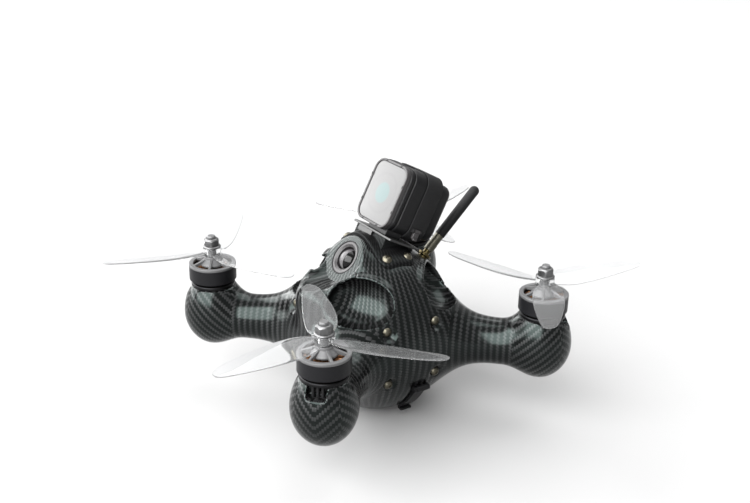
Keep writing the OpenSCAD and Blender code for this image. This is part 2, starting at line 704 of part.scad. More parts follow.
// Stations along a blade: share of the radius, share of the chord, pitch, rise, sweep
BLADE = [[0.065, 0.55, 14, 8.4, 0.4], [0.14, 0.80, 12, 8.3, 0.5], [0.24, 1.00, 11, 8.3, 0.6],
    [0.37, 1.05, 10, 8.4, 0.7], [0.52, 1.00, 9, 8.7, 0.5], [0.68, 0.86, 8, 9.1, 0],
    [0.81, 0.72, 7, 9.4, -0.4], [0.905, 0.58, 6, 9.7, -0.8], [0.965, 0.42, 5, 9.8, -1.2],
    [1, 0.16, 5, 9.9, -1.7]];
function blade_ring(b, hand) =
    let (c = b[1] * blade_chord, t = 0.9 - 0.35 * b[0],
         outline = [[-0.5, 0], [-0.3, 0.45], [0.02, 0.62], [0.3, 0.45], [0.5, 0],
                    [0.3, -0.28], [0.02, -0.38], [-0.3, -0.28]])
    [for (q = outline) let (x = q.x * c, z = q.y * t + 0.05 * c * (0.25 - q.x * q.x))
        [b[0] * prop_r, hand * (x * cos(b[2]) + b[4]) - hand * z * sin(b[2]),
         x * sin(b[2]) + z * cos(b[2]) + b[3]]];
module blade(hand) {
    m = 8;
    n = len(BLADE);
    points = [for (b = BLADE) each blade_ring(b, hand)];
    sides = [for (k = [0:n - 2]) for (j = [0:m - 1]) let (a = k * m + j, b = k * m + (j + 1) % m)
        each [[a, b, b + m], [a, b + m, a + m]]];
    ends = concat([for (j = [1:m - 2]) [0, j + 1, j]],
        [for (j = [1:m - 2]) [(n - 1) * m, (n - 1) * m + j, (n - 1) * m + j + 1]]);
    faces = concat(sides, ends);
    polyhedron(points, hand > 0 ? faces : [for (f = faces) [f[2], f[1], f[0]]]);
}
module propeller(i) {
    hand = SIGN[i].x * SIGN[i].y > 0 ? 1 : -1;
    color([0.8, 0.82, 0.83, 0.5]) at_motor(i) translate([0, 0, rim_z]) rotate(prop_turn[i]) {
        difference() {
            translate([0, 0, 5.8]) cylinder(r = 5.4, h = 5.5);
            translate([0, 0, 5]) cylinder(r = shaft_r + run_gap, h = 8);
        }
        for (a = [0:120:359]) rotate(a) blade(hand);
    }
}
module prop_nut(i) {
    color(silver) at_motor(i) translate([0, 0, rim_z + 11.3]) difference() {
        union() {
            cylinder(r = 5.3, h = 1);
            cylinder(r = 4.62, h = 5, $fn = 6);
            translate([0, 0, 5]) cylinder(r1 = 3.9, r2 = 3.4, h = 0.5);
        }
        translate([0, 0, -1]) cylinder(r = shaft_r + run_gap, h = 8);
    }
}

upper_shell();
lower_shell();
belly_cover();
body_screws();
inner_frame();
board_standoffs();
power_board();
flight_controller();
video_transmitter();
radio_receiver();
battery();
battery_plug();
fpv_bezel();
fpv_camera();
fpv_lens();
bracket_base();
camera_bracket();
camera_case();
camera_bezel();
camera_window();
camera_band();
shutter_button();
band_latch();
antenna_connector();
antenna_barrel();
antenna_whip();
latch_hinge_left();
latch_hinge_right();
belly_latch_left();
belly_latch_right();
motor_screws();
motor_wires();
motor_base(0);  // motor_base_front_left
motor_base(1);  // motor_base_front_right
motor_base(2);  // motor_base_rear_left
motor_base(3);  // motor_base_rear_right
stator(0);  // stator_front_left
stator(1);  // stator_front_right
stator(2);  // stator_rear_left
stator(3);  // stator_rear_right
rotor_ring(0);  // rotor_ring_front_left
rotor_ring(1);  // rotor_ring_front_right
rotor_ring(2);  // rotor_ring_rear_left
rotor_ring(3);  // rotor_ring_rear_right
rotor_cap(0);  // rotor_cap_front_left
rotor_cap(1);  // rotor_cap_front_right
rotor_cap(2);  // rotor_cap_rear_left
rotor_cap(3);  // rotor_cap_rear_right
propeller(0);  // propeller_front_left
propeller(1);  // propeller_front_right
propeller(2);  // propeller_rear_left
propeller(3);  // propeller_rear_right
prop_nut(0);  // prop_nut_front_left
prop_nut(1);  // prop_nut_front_right
prop_nut(2);  // prop_nut_rear_left
prop_nut(3);  // prop_nut_rear_right
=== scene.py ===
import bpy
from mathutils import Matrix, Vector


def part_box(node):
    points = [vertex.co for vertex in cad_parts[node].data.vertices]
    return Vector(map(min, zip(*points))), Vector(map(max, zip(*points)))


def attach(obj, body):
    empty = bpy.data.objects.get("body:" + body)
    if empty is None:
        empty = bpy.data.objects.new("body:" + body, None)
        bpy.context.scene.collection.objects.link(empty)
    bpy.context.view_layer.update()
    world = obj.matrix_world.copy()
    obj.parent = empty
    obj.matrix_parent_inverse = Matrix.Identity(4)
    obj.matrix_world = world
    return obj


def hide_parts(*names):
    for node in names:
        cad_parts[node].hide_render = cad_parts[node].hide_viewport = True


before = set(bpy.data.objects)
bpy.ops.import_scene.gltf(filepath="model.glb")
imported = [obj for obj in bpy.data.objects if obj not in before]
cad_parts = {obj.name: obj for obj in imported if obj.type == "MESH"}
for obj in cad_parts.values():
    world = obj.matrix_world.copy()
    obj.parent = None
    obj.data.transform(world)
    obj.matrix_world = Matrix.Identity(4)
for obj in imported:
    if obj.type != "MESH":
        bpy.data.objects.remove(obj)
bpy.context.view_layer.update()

import math
import bmesh
import bpy
import numpy as np
from mathutils import Matrix, Vector

MM = 0.001
CORNERS = ["front_left", "front_right", "rear_left", "rear_right"]
SIGN = {"front_left": (1, -1), "front_right": (-1, -1), "rear_left": (1, 1), "rear_right": (-1, 1)}


def box_mm(node):
    lo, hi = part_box(node)
    return np.array(lo) / MM, np.array(hi) / MM


# Places that the CAD model gives, in millimetres
_lo, _hi = box_mm("rotor_ring_front_left")
MX, MY = (_lo[0] + _hi[0]) / 2, -(_lo[1] + _hi[1]) / 2
RIM = _hi[2]
BELL_R = (_hi[0] - _lo[0]) / 2
SEAT = box_mm("motor_base_front_left")[0][2]
SEAM = (box_mm("upper_shell")[0][2] + box_mm("lower_shell")[1][2]) / 2
COVER = (box_mm("lower_shell")[0][2] + box_mm("belly_cover")[1][2]) / 2
ARM_LEN = math.hypot(MX, MY)

# Action camera, its bracket and strap, and the antenna, as in the CAD model
CAM_C, CAM_TILT, CAM_SIZE = (0, 4.3, RIM + 52.5), 27, (34, 38.5, 23.5)
BAND_Y = (15, 26.5)
SHELF_TOP, SHELF_T = -CAM_SIZE[1] / 2 - 1.65, 1.2
SHELF_X, SHELF_Y = (-17, 21.5), (2, 25.5)
HOOK, HOOK_Y = (CAM_SIZE[0] / 2 + 2, 6.75 - CAM_SIZE[1] / 2), (17.6, 21.4)
BASE_T, BASE_SCREW = 1.8, (20.6, -4.8, 8.4)
WHIP_TILT, WHIP_LEN = 44.4, 54.5


# ------------------------------------------------------------------ small mesh tools

def show(name, data):
    ob = bpy.data.objects.new(name, data)
    bpy.context.scene.collection.objects.link(ob)
    return ob


def new_object(name, verts, faces, scale=MM):
    mesh = bpy.data.meshes.new(name)
    mesh.from_pydata([tuple(float(c) * scale for c in v) for v in verts], [], faces)
    mesh.validate()
    mesh.update()
    return show(name, mesh)


def solid(name, verts, faces, m=None):
    """Closed mesh with its faces turned outwards, moved by a matrix."""
    ob = new_object(name, verts, faces)
    bm = bmesh.new()
    bm.from_mesh(ob.data)
    bmesh.ops.remove_doubles(bm, verts=bm.verts, dist=1e-7)
    bmesh.ops.recalc_face_normals(bm, faces=bm.faces)
    bm.to_mesh(ob.data)
    bm.free()
    return ob if m is None else place(ob, m)


def shade(ob, angle=35):
    """Smooth shading that keeps edges sharper than the angle."""
    me = ob.data
    bm = bmesh.new()
    bm.from_mesh(me)
    lim = math.radians(angle)
    for f in bm.faces:
        f.smooth = True
    for e in bm.edges:
        e.smooth = len(e.link_faces) == 2 and e.calc_face_angle(0) < lim
    bm.to_mesh(me)
    bm.free()
    return ob


def lathe(name, profile, n=96, m=None):
    """Solid of revolution about Z. profile is a closed loop of (r, z) that may touch the axis."""
    verts, faces, rows = [], [], []
    for r, z in profile:
        if r < 1e-6:
            rows.append([len(verts)])
            verts.append((0, 0, z))
        else:
            rows.append(list(range(len(verts), len(verts) + n)))
            verts += [(r * math.cos(2 * math.pi * k / n), r * math.sin(2 * math.pi * k / n), z)
                      for k in range(n)]
    for a, b in zip(rows, rows[1:] + rows[:1]):
        if len(a) == 1 and len(b) == 1:
            continue
        for k in range(n):
            j = (k + 1) % n
            if len(a) == 1:
                faces.append((a[0], b[j], b[k]))
            elif len(b) == 1:
                faces.append((a[k], a[j], b[0]))
            else:
                faces.append((a[k], a[j], b[j], b[k]))
    return solid(name, verts, faces, m)


def place(ob, m):
    """Moves the mesh itself, so that the object stays at the origin."""
    ob.data.transform(m)
    return ob


def prism(name, outline, z0, z1, m=None):
    """Closed outline of (x, y), drawn up from z0 to z1."""
    n = len(outline)
    verts = [(x, y, z0) for x, y in outline] + [(x, y, z1) for x, y in outline]
    faces = [tuple(range(n))[::-1], tuple(range(n, 2 * n))]
    faces += [(k, (k + 1) % n, n + (k + 1) % n, n + k) for k in range(n)]
    return solid(name, verts, faces, m)


def loft(name, rings, m=None, caps=True):
    """Skin through rings that all have the same number of points."""
    n = len(rings[0])
    verts = [p for r in rings for p in r]
    faces = [(i * n + k, i * n + (k + 1) % n, (i + 1) * n + (k + 1) % n, (i + 1) * n + k)
             for i in range(len(rings) - 1) for k in range(n)]
    if caps:
        faces += [tuple(range(n))[::-1], tuple(range((len(rings) - 1) * n, len(rings) * n))]
    return solid(name, verts, faces, m)


def rounded_rect(w, h, r, n=10):
    """Points of a rounded rectangle about the origin."""
    pts = []
    for cx, cy, a0 in ((w / 2 - r, h / 2 - r, 0), (-w / 2 + r, h / 2 - r, 90),
                       (-w / 2 + r, -h / 2 + r, 180), (w / 2 - r, -h / 2 + r, 270)):
        for k in range(n + 1):
            a = math.radians(a0 + 90 * k / n)
            pts.append((cx + r * math.cos(a), cy + r * math.sin(a)))
    return pts


def join(name, obs):
    bpy.ops.object.select_all(action="DESELECT")
    for o in obs:
        o.select_set(True)
    bpy.context.view_layer.objects.active = obs[0]
    bpy.ops.object.join()
    obs[0].name = name
    obs[0].data.name = name
    return obs[0]


def apply_modifiers(ob):
    dg = bpy.context.evaluated_depsgraph_get()
    me = bpy.data.meshes.new_from_object(ob.evaluated_get(dg))
    ob.modifiers.clear()
    ob.data = me
    return ob


def boolean(ob, tool, operation="DIFFERENCE"):
    """Cuts, joins or trims a mesh with a second one, which is used up."""
    m = ob.modifiers.new("boolean", "BOOLEAN")
    m.operation, m.object, m.solver = operation, tool, "MANIFOLD"
    apply_modifiers(ob)
    bpy.data.objects.remove(tool)
    return ob


def soften(ob, width):
    """Rounds the sharp edges and keeps the result as the mesh."""
    m = ob.modifiers.new("bevel", "BEVEL")
    m.width, m.segments, m.harden_normals = width * MM, 3, False
    m.limit_method, m.angle_limit = "ANGLE", math.radians(35)
    apply_modifiers(ob)
    return shade(ob, 40)


def puck(name, outline, z0, z1, soft=0.4, m=None, steps=4):
    """Plate between two heights whose ends are rounded; outline(d) gives its points drawn in by d."""
    quarter = [math.pi / 2 * k / steps for k in range(steps + 1)]
    rings = [[(x, y, z0 + soft * (1 - math.cos(a))) for x, y in outline(soft * (1 - math.sin(a)))]
             for a in quarter]
    rings += [[(x, y, z1 - soft * (1 - math.sin(a))) for x, y in outline(soft * (1 - math.cos(a)))]
              for a in quarter]
    return shade(loft(name, rings, m), 50)


def rect(w, h, r, cx=0.0, cy=0.0, n=10):
    """Outline function of a rounded rectangle."""
    return lambda d: [(x + cx, y + cy)
                      for x, y in rounded_rect(w - 2 * d, h - 2 * d, max(r - d, 0.02), n)]


def disc(r, n=64):
    return lambda d: [((r - d) * math.cos(2 * math.pi * k / n), (r - d) * math.sin(2 * math.pi * k / n))
                      for k in range(n)]


def hexagon(r):
    """Outline function of a hexagon with slightly rounded corners."""
    def points(d):
        out = []
        for k in range(6):
            for t in (-6, -2, 2, 6):
                a, far = math.radians(60 * k + t), (r - d) * 0.985 / math.cos(math.radians(t) * 0.4)
                out.append((far * math.cos(a), far * math.sin(a)))
        return out
    return points


def at(x=0, y=0, z=0):
    return Matrix.Translation(Vector((x, y, z)) * MM)


def turn(angle, axis="Z"):
    return Matrix.Rotation(math.radians(angle), 4, axis)


def finish(ob, mat, body, slot, *nodes):
    """Gives a piece its material and body, and hides the nodes that it stands for. Its slot is not used."""
    ob.data.materials.clear()
    ob.data.materials.append(mat)
    for p in ob.data.polygons:
        p.material_index = 0
    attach(ob, body)
    if nodes:
        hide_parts(*nodes)
    return ob



# ------------------------------------------------------------------ materials

class Nodes:
    """A material's node tree with short calls for its maths."""

    def __init__(self, name):
        self.mat = bpy.data.materials.new(name)
        self.mat.use_nodes = True
        self.tree = self.mat.node_tree
        self.bsdf = self.tree.nodes["Principled BSDF"]

    def node(self, kind, **props):
        n = self.tree.nodes.new(kind)
        for k, v in props.items():
            setattr(n, k, v)
        return n

    def link(self, a, b):
        self.tree.links.new(a, b)

    def feed(self, value, socket):
        if isinstance(value, bpy.types.NodeSocket):
            self.link(value, socket)
        elif value is not None:
            socket.default_value = value

    def m(self, op, a, b=None, c=None, clamp=False):
        n = self.node("ShaderNodeMath", operation=op, use_clamp=clamp)
        for i, v in enumerate((a, b, c)):
            self.feed(v, n.inputs[i])
        return n.outputs[0]

    def coords(self, scale=1.0):
        tc = self.node("ShaderNodeTexCoord")
        if scale == 1.0:
            return tc.outputs["Object"]
        mp = self.node("ShaderNodeMapping")
        s = scale if isinstance(scale, (tuple, list)) else (scale,) * 3
        mp.inputs["Scale"].default_value = s
        self.link(tc.outputs["Object"], mp.inputs["Vector"])
        return mp.outputs[0]

    def noise(self, scale, detail=2.0, rough=0.5, vec=None):
        n = self.node("ShaderNodeTexNoise")
        n.inputs["Scale"].default_value = scale
        n.inputs["Detail"].default_value = detail
        n.inputs["Roughness"].default_value = rough
        self.link(vec or self.coords(), n.inputs["Vector"])
        return n.outputs["Fac"]

    def mix(self, fac, a, b):
        n = self.node("ShaderNodeMix", data_type="RGBA")
        self.feed(fac, n.inputs[0])
        for v, s in ((a, n.inputs[6]), (b, n.inputs[7])):
            self.feed((*v, 1.0) if isinstance(v, tuple) and len(v) == 3 else v, s)
        return n.outputs[2]

    def range(self, v, a, b, c, d):
        n = self.node("ShaderNodeMapRange")
        for s, x in zip(n.inputs, (v, a, b, c, d)):
            self.feed(x, s)
        return n.outputs[0]

    def bump(self, height, distance, strength=1.0):
        n = self.node("ShaderNodeBump")
        n.inputs["Strength"].default_value = strength
        n.inputs["Distance"].default_value = distance
        self.link(height, n.inputs["Height"])
        return n.outputs[0]

    def set(self, **kw):
        for k, v in kw.items():
            s = self.bsdf.inputs[k.replace("_", " ")]
            self.feed((*v, 1.0) if isinstance(v, tuple) and len(v) == 3 and s.type == "RGBA" else v, s)
        return self


ALBEDO = 0.68     # every finish is darkened by this, which the strong softboxes make up for


def plain(name, colour, rough=0.5, metal=0.0, grain=0.0004, bumpy=0.00003, vary=0.12, **kw):
    """Moulded, cast or turned surface: slight mottling in colour and roughness over a fine grain."""
    g = Nodes(name)
    n = g.noise(1 / grain, 3.0)
    soft = g.noise(90, 2.0)
    dark = tuple(c * ALBEDO * (1 - vary) for c in colour)
    light = tuple(c * ALBEDO * (1 + vary) for c in colour)
    g.set(Base_Color=g.mix(soft, dark, light), Metallic=metal,
          Roughness=g.range(n, 0.3, 0.7, max(0.02, rough - 0.06), rough + 0.06),
          Normal=g.bump(n, bumpy), **kw)
    return g.mat


def brushed(name, colour, rough=0.28, axis="Z", scale=60, **kw):
    """Metal with fine lines round the Z axis (turned) or along an axis (drawn)."""
    g = Nodes(name)
    s = {"X": (1, 40, 40), "Y": (40, 1, 40), "Z": (40, 40, 1), "ring": (1, 1, 60)}[axis]
    n = g.noise(scale, 3.0, 0.6, g.coords(s))
    dark, light = [tuple(c * ALBEDO * k for c in colour) for k in (0.82, 1.0)]
    g.set(Base_Color=g.mix(n, dark, light), Metallic=1.0,
          Roughness=g.range(n, 0.3, 0.7, rough - 0.08, rough + 0.1),
          Normal=g.bump(n, 0.00004), **kw)
    return g.mat


def carbon(name, rough=0.19, ior=1.27, sheen=0.46, tow=1.25, wrap=40.0):
    """Two by two twill under a clear teal-grey coat. The cloth runs round the core, along the arms and
    over the pods. The base lobe is the smooth coat, and the coat lobe is the sheen of the tows."""
    g = Nodes(name)
    tc = g.node("ShaderNodeTexCoord")
    pos, nrm = g.node("ShaderNodeSeparateXYZ"), g.node("ShaderNodeSeparateXYZ")
    g.link(tc.outputs["Object"], pos.inputs[0])
    g.link(tc.outputs["Normal"], nrm.inputs[0])
    X, Y, Z = [g.m("MULTIPLY", s, 1 / (tow * MM)) for s in pos.outputs]

    def along(px, py):
        """A vector's share along and across the nearest arm."""
        return (g.m("ADD", g.m("MULTIPLY", px, MX / ARM_LEN), g.m("MULTIPLY", py, MY / ARM_LEN)),
                g.m("SUBTRACT", g.m("MULTIPLY", px, MY / ARM_LEN), g.m("MULTIPLY", py, MX / ARM_LEN)))

    def pick(test, yes, no):
        return g.m("ADD", g.m("MULTIPLY", test, g.m("SUBTRACT", yes, no)), no)

    out, across = along(g.m("ABSOLUTE", X), g.m("ABSOLUTE", Y))
    n_out, n_across = along(g.m("MULTIPLY", nrm.outputs[0], g.m("SIGN", X)),
                            g.m("MULTIPLY", nrm.outputs[1], g.m("SIGN", Y)))
    level = g.m("GREATER_THAN", g.m("ABSOLUTE", nrm.outputs[2]), 0.74)
    round_core = g.m("MULTIPLY", g.m("ARCTAN2", Y, X), wrap / tow)
    in_arm = g.m("GREATER_THAN", out, 47 / tow)
    in_pod = g.m("GREATER_THAN", out, (ARM_LEN - 15) / tow)
    facing_out = g.m("GREATER_THAN", g.m("ABSOLUTE", n_out), g.m("ABSOLUTE", n_across))
    u = pick(in_arm, pick(g.m("MULTIPLY", in_pod, facing_out), g.m("ABSOLUTE", across), out), round_core)
    v = pick(g.m("MULTIPLY", in_arm, level), across, Z)
    # On the core and arms the tows lie on the bias, so the twill's ribs run upright
    bias = g.m("SUBTRACT", 1.0, in_pod)
    h = math.sqrt(0.5)
    u, v = (pick(bias, g.m("MULTIPLY", g.m("ADD", u, v), h), u),
            pick(bias, g.m("MULTIPLY", g.m("SUBTRACT", v, u), h), v))

    i, j = g.m("FLOOR", u), g.m("FLOOR", v)
    over = g.m("LESS_THAN", g.m("FLOORED_MODULO", g.m("SUBTRACT", i, j), 4.0), 1.5)

    def float_height(along_, cell, across_, start):
        """Crown of a tow across its width, times the arch of its float of two cells."""
        w = g.m("FLOORED_MODULO", g.m("SUBTRACT", g.m("SUBTRACT", along_, cell), start), 4.0)
        arch = g.m("SUBTRACT", 1.0, g.m("POWER", g.m("ABSOLUTE", g.m("SUBTRACT", w, 1.0)), 2.5))
        f = g.m("FRACT", across_)
        crown = g.m("SQRT", g.m("MULTIPLY", g.m("MULTIPLY", f, g.m("SUBTRACT", 1.0, f)), 4.0))
        return g.m("MULTIPLY", g.m("MAXIMUM", arch, 0.0), crown)

    height = pick(over, float_height(v, i, u, -1.0), float_height(u, j, v, 2.0))
    fibre = g.noise(2600, 2.0)
    patch = g.noise(45, 1.0)
    # The base colour is lighter on the crowns of the upper tows: painted sheen, on top of the coat lobe's own
    # sheen over the same crowns.
    light = g.mix(patch, (0.004, 0.004, 0.0045), (0.012, 0.0117, 0.012))
    dark = g.mix(fibre, (0.001, 0.001, 0.001), (0.003, 0.003, 0.003))
    crest_sheen = g.m("MULTIPLY", g.range(height, 0.05, 0.60, 0.0, 1.0), over)
    g.set(Base_Color=g.mix(crest_sheen, dark, light),
          Roughness=rough, IOR=ior, Specular_Tint=(0.80, 1.0, 0.95),
          Coat_Weight=g.m("MULTIPLY", crest_sheen, g.range(patch, 0.35, 0.65, 0.45 * sheen, 0.85 * sheen)),
          Coat_Roughness=0.42, Coat_IOR=1.5, Coat_Normal=g.bump(height, 0.00022, 0.8))
    return g.mat


def clear_plastic(name):
    """Clear moulded polycarbonate with a slight haze, which lets light through to what is under it."""
    g = Nodes(name)
    n = g.noise(70, 2.0)
    g.set(Base_Color=g.mix(n, (0.84, 0.845, 0.85), (0.88, 0.885, 0.89)), IOR=1.24, Transmission_Weight=0.98,
          Roughness=0.04)
    path = g.node("ShaderNodeLightPath")
    clear = g.node("ShaderNodeBsdfTransparent")
    mix = g.node("ShaderNodeMixShader")
    g.link(g.m("MULTIPLY", path.outputs["Is Shadow Ray"], 0.94), mix.inputs[0])
    g.link(g.bsdf.outputs[0], mix.inputs[1])
    g.link(clear.outputs[0], mix.inputs[2])
    g.link(mix.outputs[0], g.tree.nodes["Material Output"].inputs[0])
    return g.mat


def winding_wire(name):
    """Copper wire laid turn beside turn, the turns stacked along Z."""
    g = Nodes(name)
    pos = g.node("ShaderNodeSeparateXYZ")
    g.link(g.coords(1 / (0.62 * MM)), pos.inputs[0])
    f = g.m("FRACT", pos.outputs[2])
    ridge = g.m("SQRT", g.m("MULTIPLY", g.m("MULTIPLY", f, g.m("SUBTRACT", 1.0, f)), 4.0))
    # The base colour is darker in the grooves between the turns: painted shade, beside the bump.
    g.set(Base_Color=g.mix(ridge, (0.04, 0.014, 0.006), (0.21, 0.10, 0.045)), Metallic=0.75,
          Roughness=g.range(g.noise(900, 2.0), 0.3, 0.7, 0.22, 0.38), Normal=g.bump(ridge, 0.0002, 0.8))
    return g.mat


def lit_window(name):
    """White window with a pale blue disc in its middle and a faint ring round it."""
    g = Nodes(name)
    pos = g.node("ShaderNodeSeparateXYZ")
    g.link(g.coords(), pos.inputs[0])
    t = math.radians(CAM_TILT)
    y = g.m("MULTIPLY", g.m("SUBTRACT", pos.outputs[1], CAM_C[1] * MM), math.sin(t))
    z = g.m("MULTIPLY", g.m("SUBTRACT", pos.outputs[2], CAM_C[2] * MM), math.cos(t))
    v = g.m("ADD", y, z)
    r = g.m("SQRT", g.m("ADD", g.m("MULTIPLY", pos.outputs[0], pos.outputs[0]), g.m("MULTIPLY", v, v)))
    disc_ = g.range(r, 0.0054, 0.0066, 1.0, 0.0)
    ring = g.m("SUBTRACT", 1.0, g.range(g.m("ABSOLUTE", g.m("SUBTRACT", r, 0.0115)), 0.0, 0.0012, 0.0, 1.0))
    n = g.noise(400, 2.0)
    white = g.mix(n, (0.068, 0.068, 0.068), (0.071, 0.0705, 0.0705))
    faint = g.mix(g.m("MULTIPLY", ring, 0.5), white, (0.062, 0.0615, 0.0625))
    g.set(Base_Color=g.mix(disc_, faint, (0.057, 0.081, 0.081)), Roughness=0.14, Specular_IOR_Level=0.25,
          Normal=g.bump(n, 0.000004))
    return g.mat


def painted_reflection_dome(name):
    """Pilot camera's dome: a painted reflection over its right part, lighter low down and darker towards the
    top, and black glass over its left.
    """
    g = Nodes(name)
    pos = g.node("ShaderNodeSeparateXYZ")
    g.link(g.coords(1 / MM), pos.inputs[0])
    black_side = g.range(pos.outputs[0], 1.25, 1.5, 0.0, 1.0)
    reflection_fade = g.range(pos.outputs[2], 86.0, 99.0, 0.0, 1.0)
    n = g.noise(500, 2.0)
    # The colour over the right part is a painted reflection, lighter at the bottom and darker towards the
    # top.
    reflection_tone = g.mix(reflection_fade, (0.080, 0.078, 0.079), (0.036, 0.033, 0.036))
    speckled_reflection = g.mix(g.m("MULTIPLY", n, 0.2), reflection_tone, (0.07, 0.07, 0.07))
    g.set(Base_Color=g.mix(black_side, speckled_reflection, (0.002, 0.002, 0.002)),
          Roughness=g.range(black_side, 0.0, 1.0, 0.22, 0.08), Specular_IOR_Level=0.2, Normal=g.bump(n, 0.000003))
    return g.mat


CARBON = carbon("carbon_twill")
DULL_CARBON = carbon("carbon_plate", rough=0.35, ior=1.12, sheen=0.12)
CLEAR = clear_plastic("clear_polycarbonate")
COPPER = winding_wire("enamelled_copper")
CAP_METAL = plain("cast_cap", (0.105, 0.105, 0.107), 0.50, 0.35, 0.0005, 0.00002)
BASE_METAL = brushed("turned_base", (0.024, 0.024, 0.025), 0.42, "ring", 40)
BELL = plain("anodised_black", (0.006, 0.006, 0.007), 0.42, 0.0, 0.0006, 0.00001, Specular_IOR_Level=0.14)
SCREW = brushed("screw_steel", (0.14, 0.13, 0.10), 0.36, "X", 80)
STEEL = brushed("nut_steel", (0.18, 0.18, 0.182), 0.38, "Z", 50)
BLACK = plain("moulded_black", (0.0055, 0.0055, 0.006), 0.38, 0.0, 0.0005, 0.00002, Specular_IOR_Level=0.16)
SOFT_BLACK = plain("soft_black", (0.010, 0.010, 0.0105), 0.60, 0.0, 0.0004, 0.00003, Specular_IOR_Level=0.12)
GREY = plain("satin_grey", (0.030, 0.028, 0.029), 0.36, 0.0, 0.0005, 0.00001, Specular_IOR_Level=0.3)
BRASS = brushed("gilt_brass", (0.095, 0.076, 0.034), 0.32, "Z", 60)
NICKEL = brushed("nickel", (0.125, 0.12, 0.095), 0.42, "Z", 60)
SHEET = brushed("sheet_aluminium", (0.09, 0.09, 0.09), 0.42, "X", 40)
WINDOW = lit_window("frosted_window")
DOME = painted_reflection_dome("dome_painted_reflection")
GREEN = plain("solder_mask", (0.01, 0.07, 0.04), 0.35)
WRAP = plain("shrink_film", (0.05, 0.06, 0.09), 0.3)
YELLOW = plain("moulded_yellow", (0.75, 0.5, 0.05), 0.4)


# ------------------------------------------------------------------ hull as a distance field

def smin(a, b, k):
    h = np.maximum(k - np.abs(a - b), 0) / k
    return np.minimum(a, b) - h * h * k * 0.25


def smax(a, b, k):
    return -smin(-a, -b, k)


def smooth(x, a, b):
    t = np.clip((x - a) / (b - a), 0, 1)
    return t * t * (3 - 2 * t)


def ellipsoid(q, r):
    k0 = np.sqrt(sum((q[i] / r[i]) ** 2 for i in range(3)))
    k1 = np.sqrt(sum((q[i] / r[i] ** 2) ** 2 for i in range(3))) + 1e-9
    return k0 * (k0 - 1) / k1


def capsule(p, a, b, r):
    a, b = np.array(a, float), np.array(b, float)
    d = b - a
    q = p - a
    h = np.clip(q @ d / (d @ d), 0, 1)
    return np.linalg.norm(q - h[..., None] * d, axis=-1) - r


def unit(v):
    v = np.array(v, float)
    return v / np.linalg.norm(v)


FPV_TILT = math.radians(36.9)
FPV_C = np.array([0, -19.7, RIM + 17.9])
FPV_N = np.array([0, -math.cos(FPV_TILT), math.sin(FPV_TILT)])
FPV_R, COLLAR_R = 9.5, 13.4
POCKET = np.array([11.4, -24.8, RIM + 8.2])
SCOOP_C = np.array([26, 25, RIM + 0.2])
SCOOP_N = unit([0.56, 0.50, 0.66])
SCOOP_U = unit([-SCOOP_N[1], SCOOP_N[0], 0])
SCOOP_V = np.cross(SCOOP_N, SCOOP_U)
SCOOP_R = (19.4, 15.3, 11)


def body(p):
    """The hull before its scoops, seats and pockets are cut."""
    X, Y, Z = p[..., 0], p[..., 1], p[..., 2]
    ax, ay = np.abs(X), np.abs(Y)
    core = ellipsoid((X, Y, Z - RIM + 26), (42.5, 38.5, 52.5))
    arms = []
    for s in (1, -1):
        t = np.clip((X * s * MX + Y * MY) / ARM_LEN, -ARM_LEN, ARM_LEN)
        arms.append(np.sqrt((X * s - t * MX / ARM_LEN) ** 2 + (Y - t * MY / ARM_LEN) ** 2
                            + (Z - RIM + 31.5) ** 2) - 13.5)
    d = smin(core, smin(arms[0], arms[1], 50), 34)
    pz = Z - RIM + 28
    pod = ellipsoid((ax - MX, ay - MY, pz), (17.4, 17.4, np.where(pz > 0, 24.0, 22.3)))
    d = smin(d, pod, 8)
    return smin(d, capsule(p, (0, -14, RIM + 7.5), (0, -38, RIM - 2), 10.4), 14)


def gradient(field, p, e=0.05):
    g = np.stack([field(p + e * np.eye(3)[i]) - field(p - e * np.eye(3)[i]) for i in range(3)], -1) / (2 * e)
    ln = np.linalg.norm(g, axis=-1) + 1e-9
    return g / ln[:, None], field(p) / ln


def reach(origin, direction, far=90.0):
    """Where a line from inside the hull leaves its skin."""
    o, v = np.array(origin, float), unit(direction)
    lo, hi = 0.0, far
    for _ in range(30):
        mid = (lo + hi) / 2
        lo, hi = (mid, hi) if body((o + mid * v)[None])[0] < 0 else (lo, mid)
    return o + lo * v


# Screws through the flanks: two rows on each of the four sides
SCREW_HALF, SCREW_Y, SCREW_Z = 15.6, -2.2, (SEAT, SEAT - 31)
FLANK_SCREWS = [(reach((0, SCREW_Y + a * SCREW_HALF, z), (s, 0, 0)), (s, 0, 0))
                for s in (1, -1) for a in (-1, 1) for z in SCREW_Z]
FLANK_SCREWS += [(reach((a * SCREW_HALF, 0, z), (0, s, 0)), (0, s, 0))
                 for s in (1, -1) for a in (-1, 1) for z in SCREW_Z]


def level_set(p, field, steps=6):
    """Moves points onto a field's zero level."""
    for _ in range(steps):
        g, f = gradient(field, p)
        p = p - g * f[..., None]
    return p, g


# Dimple on each side of the pilot camera: its middle, its axes along, across and out of the skin
_spot, _out = level_set(POCKET[None], body)
DIMPLE_C, DIMPLE_N = _spot[0], _out[0]
_along = np.cross(FPV_N, POCKET - FPV_C)
DIMPLE_T = unit(_along - (_along @ DIMPLE_N) * DIMPLE_N)
DIMPLE_S = np.cross(DIMPLE_N, DIMPLE_T)
DIMPLE_R = (6.6, 3.9, 1.7)


def shoulders(p):
    """Body with the collar round the pilot camera, and a point's place along and off the collar's axis."""
    q = p - FPV_C
    a = q @ FPV_N
    rr = np.linalg.norm(q - a[..., None] * FPV_N, axis=-1)
    q0, q1 = rr - (COLLAR_R - 1.0), np.abs(a + 14) - 13
    collar = np.minimum(np.maximum(q0, q1), 0) + np.hypot(np.maximum(q0, 0), np.maximum(q1, 0)) - 1.0
    return smin(body(p), collar, 7), a, rr


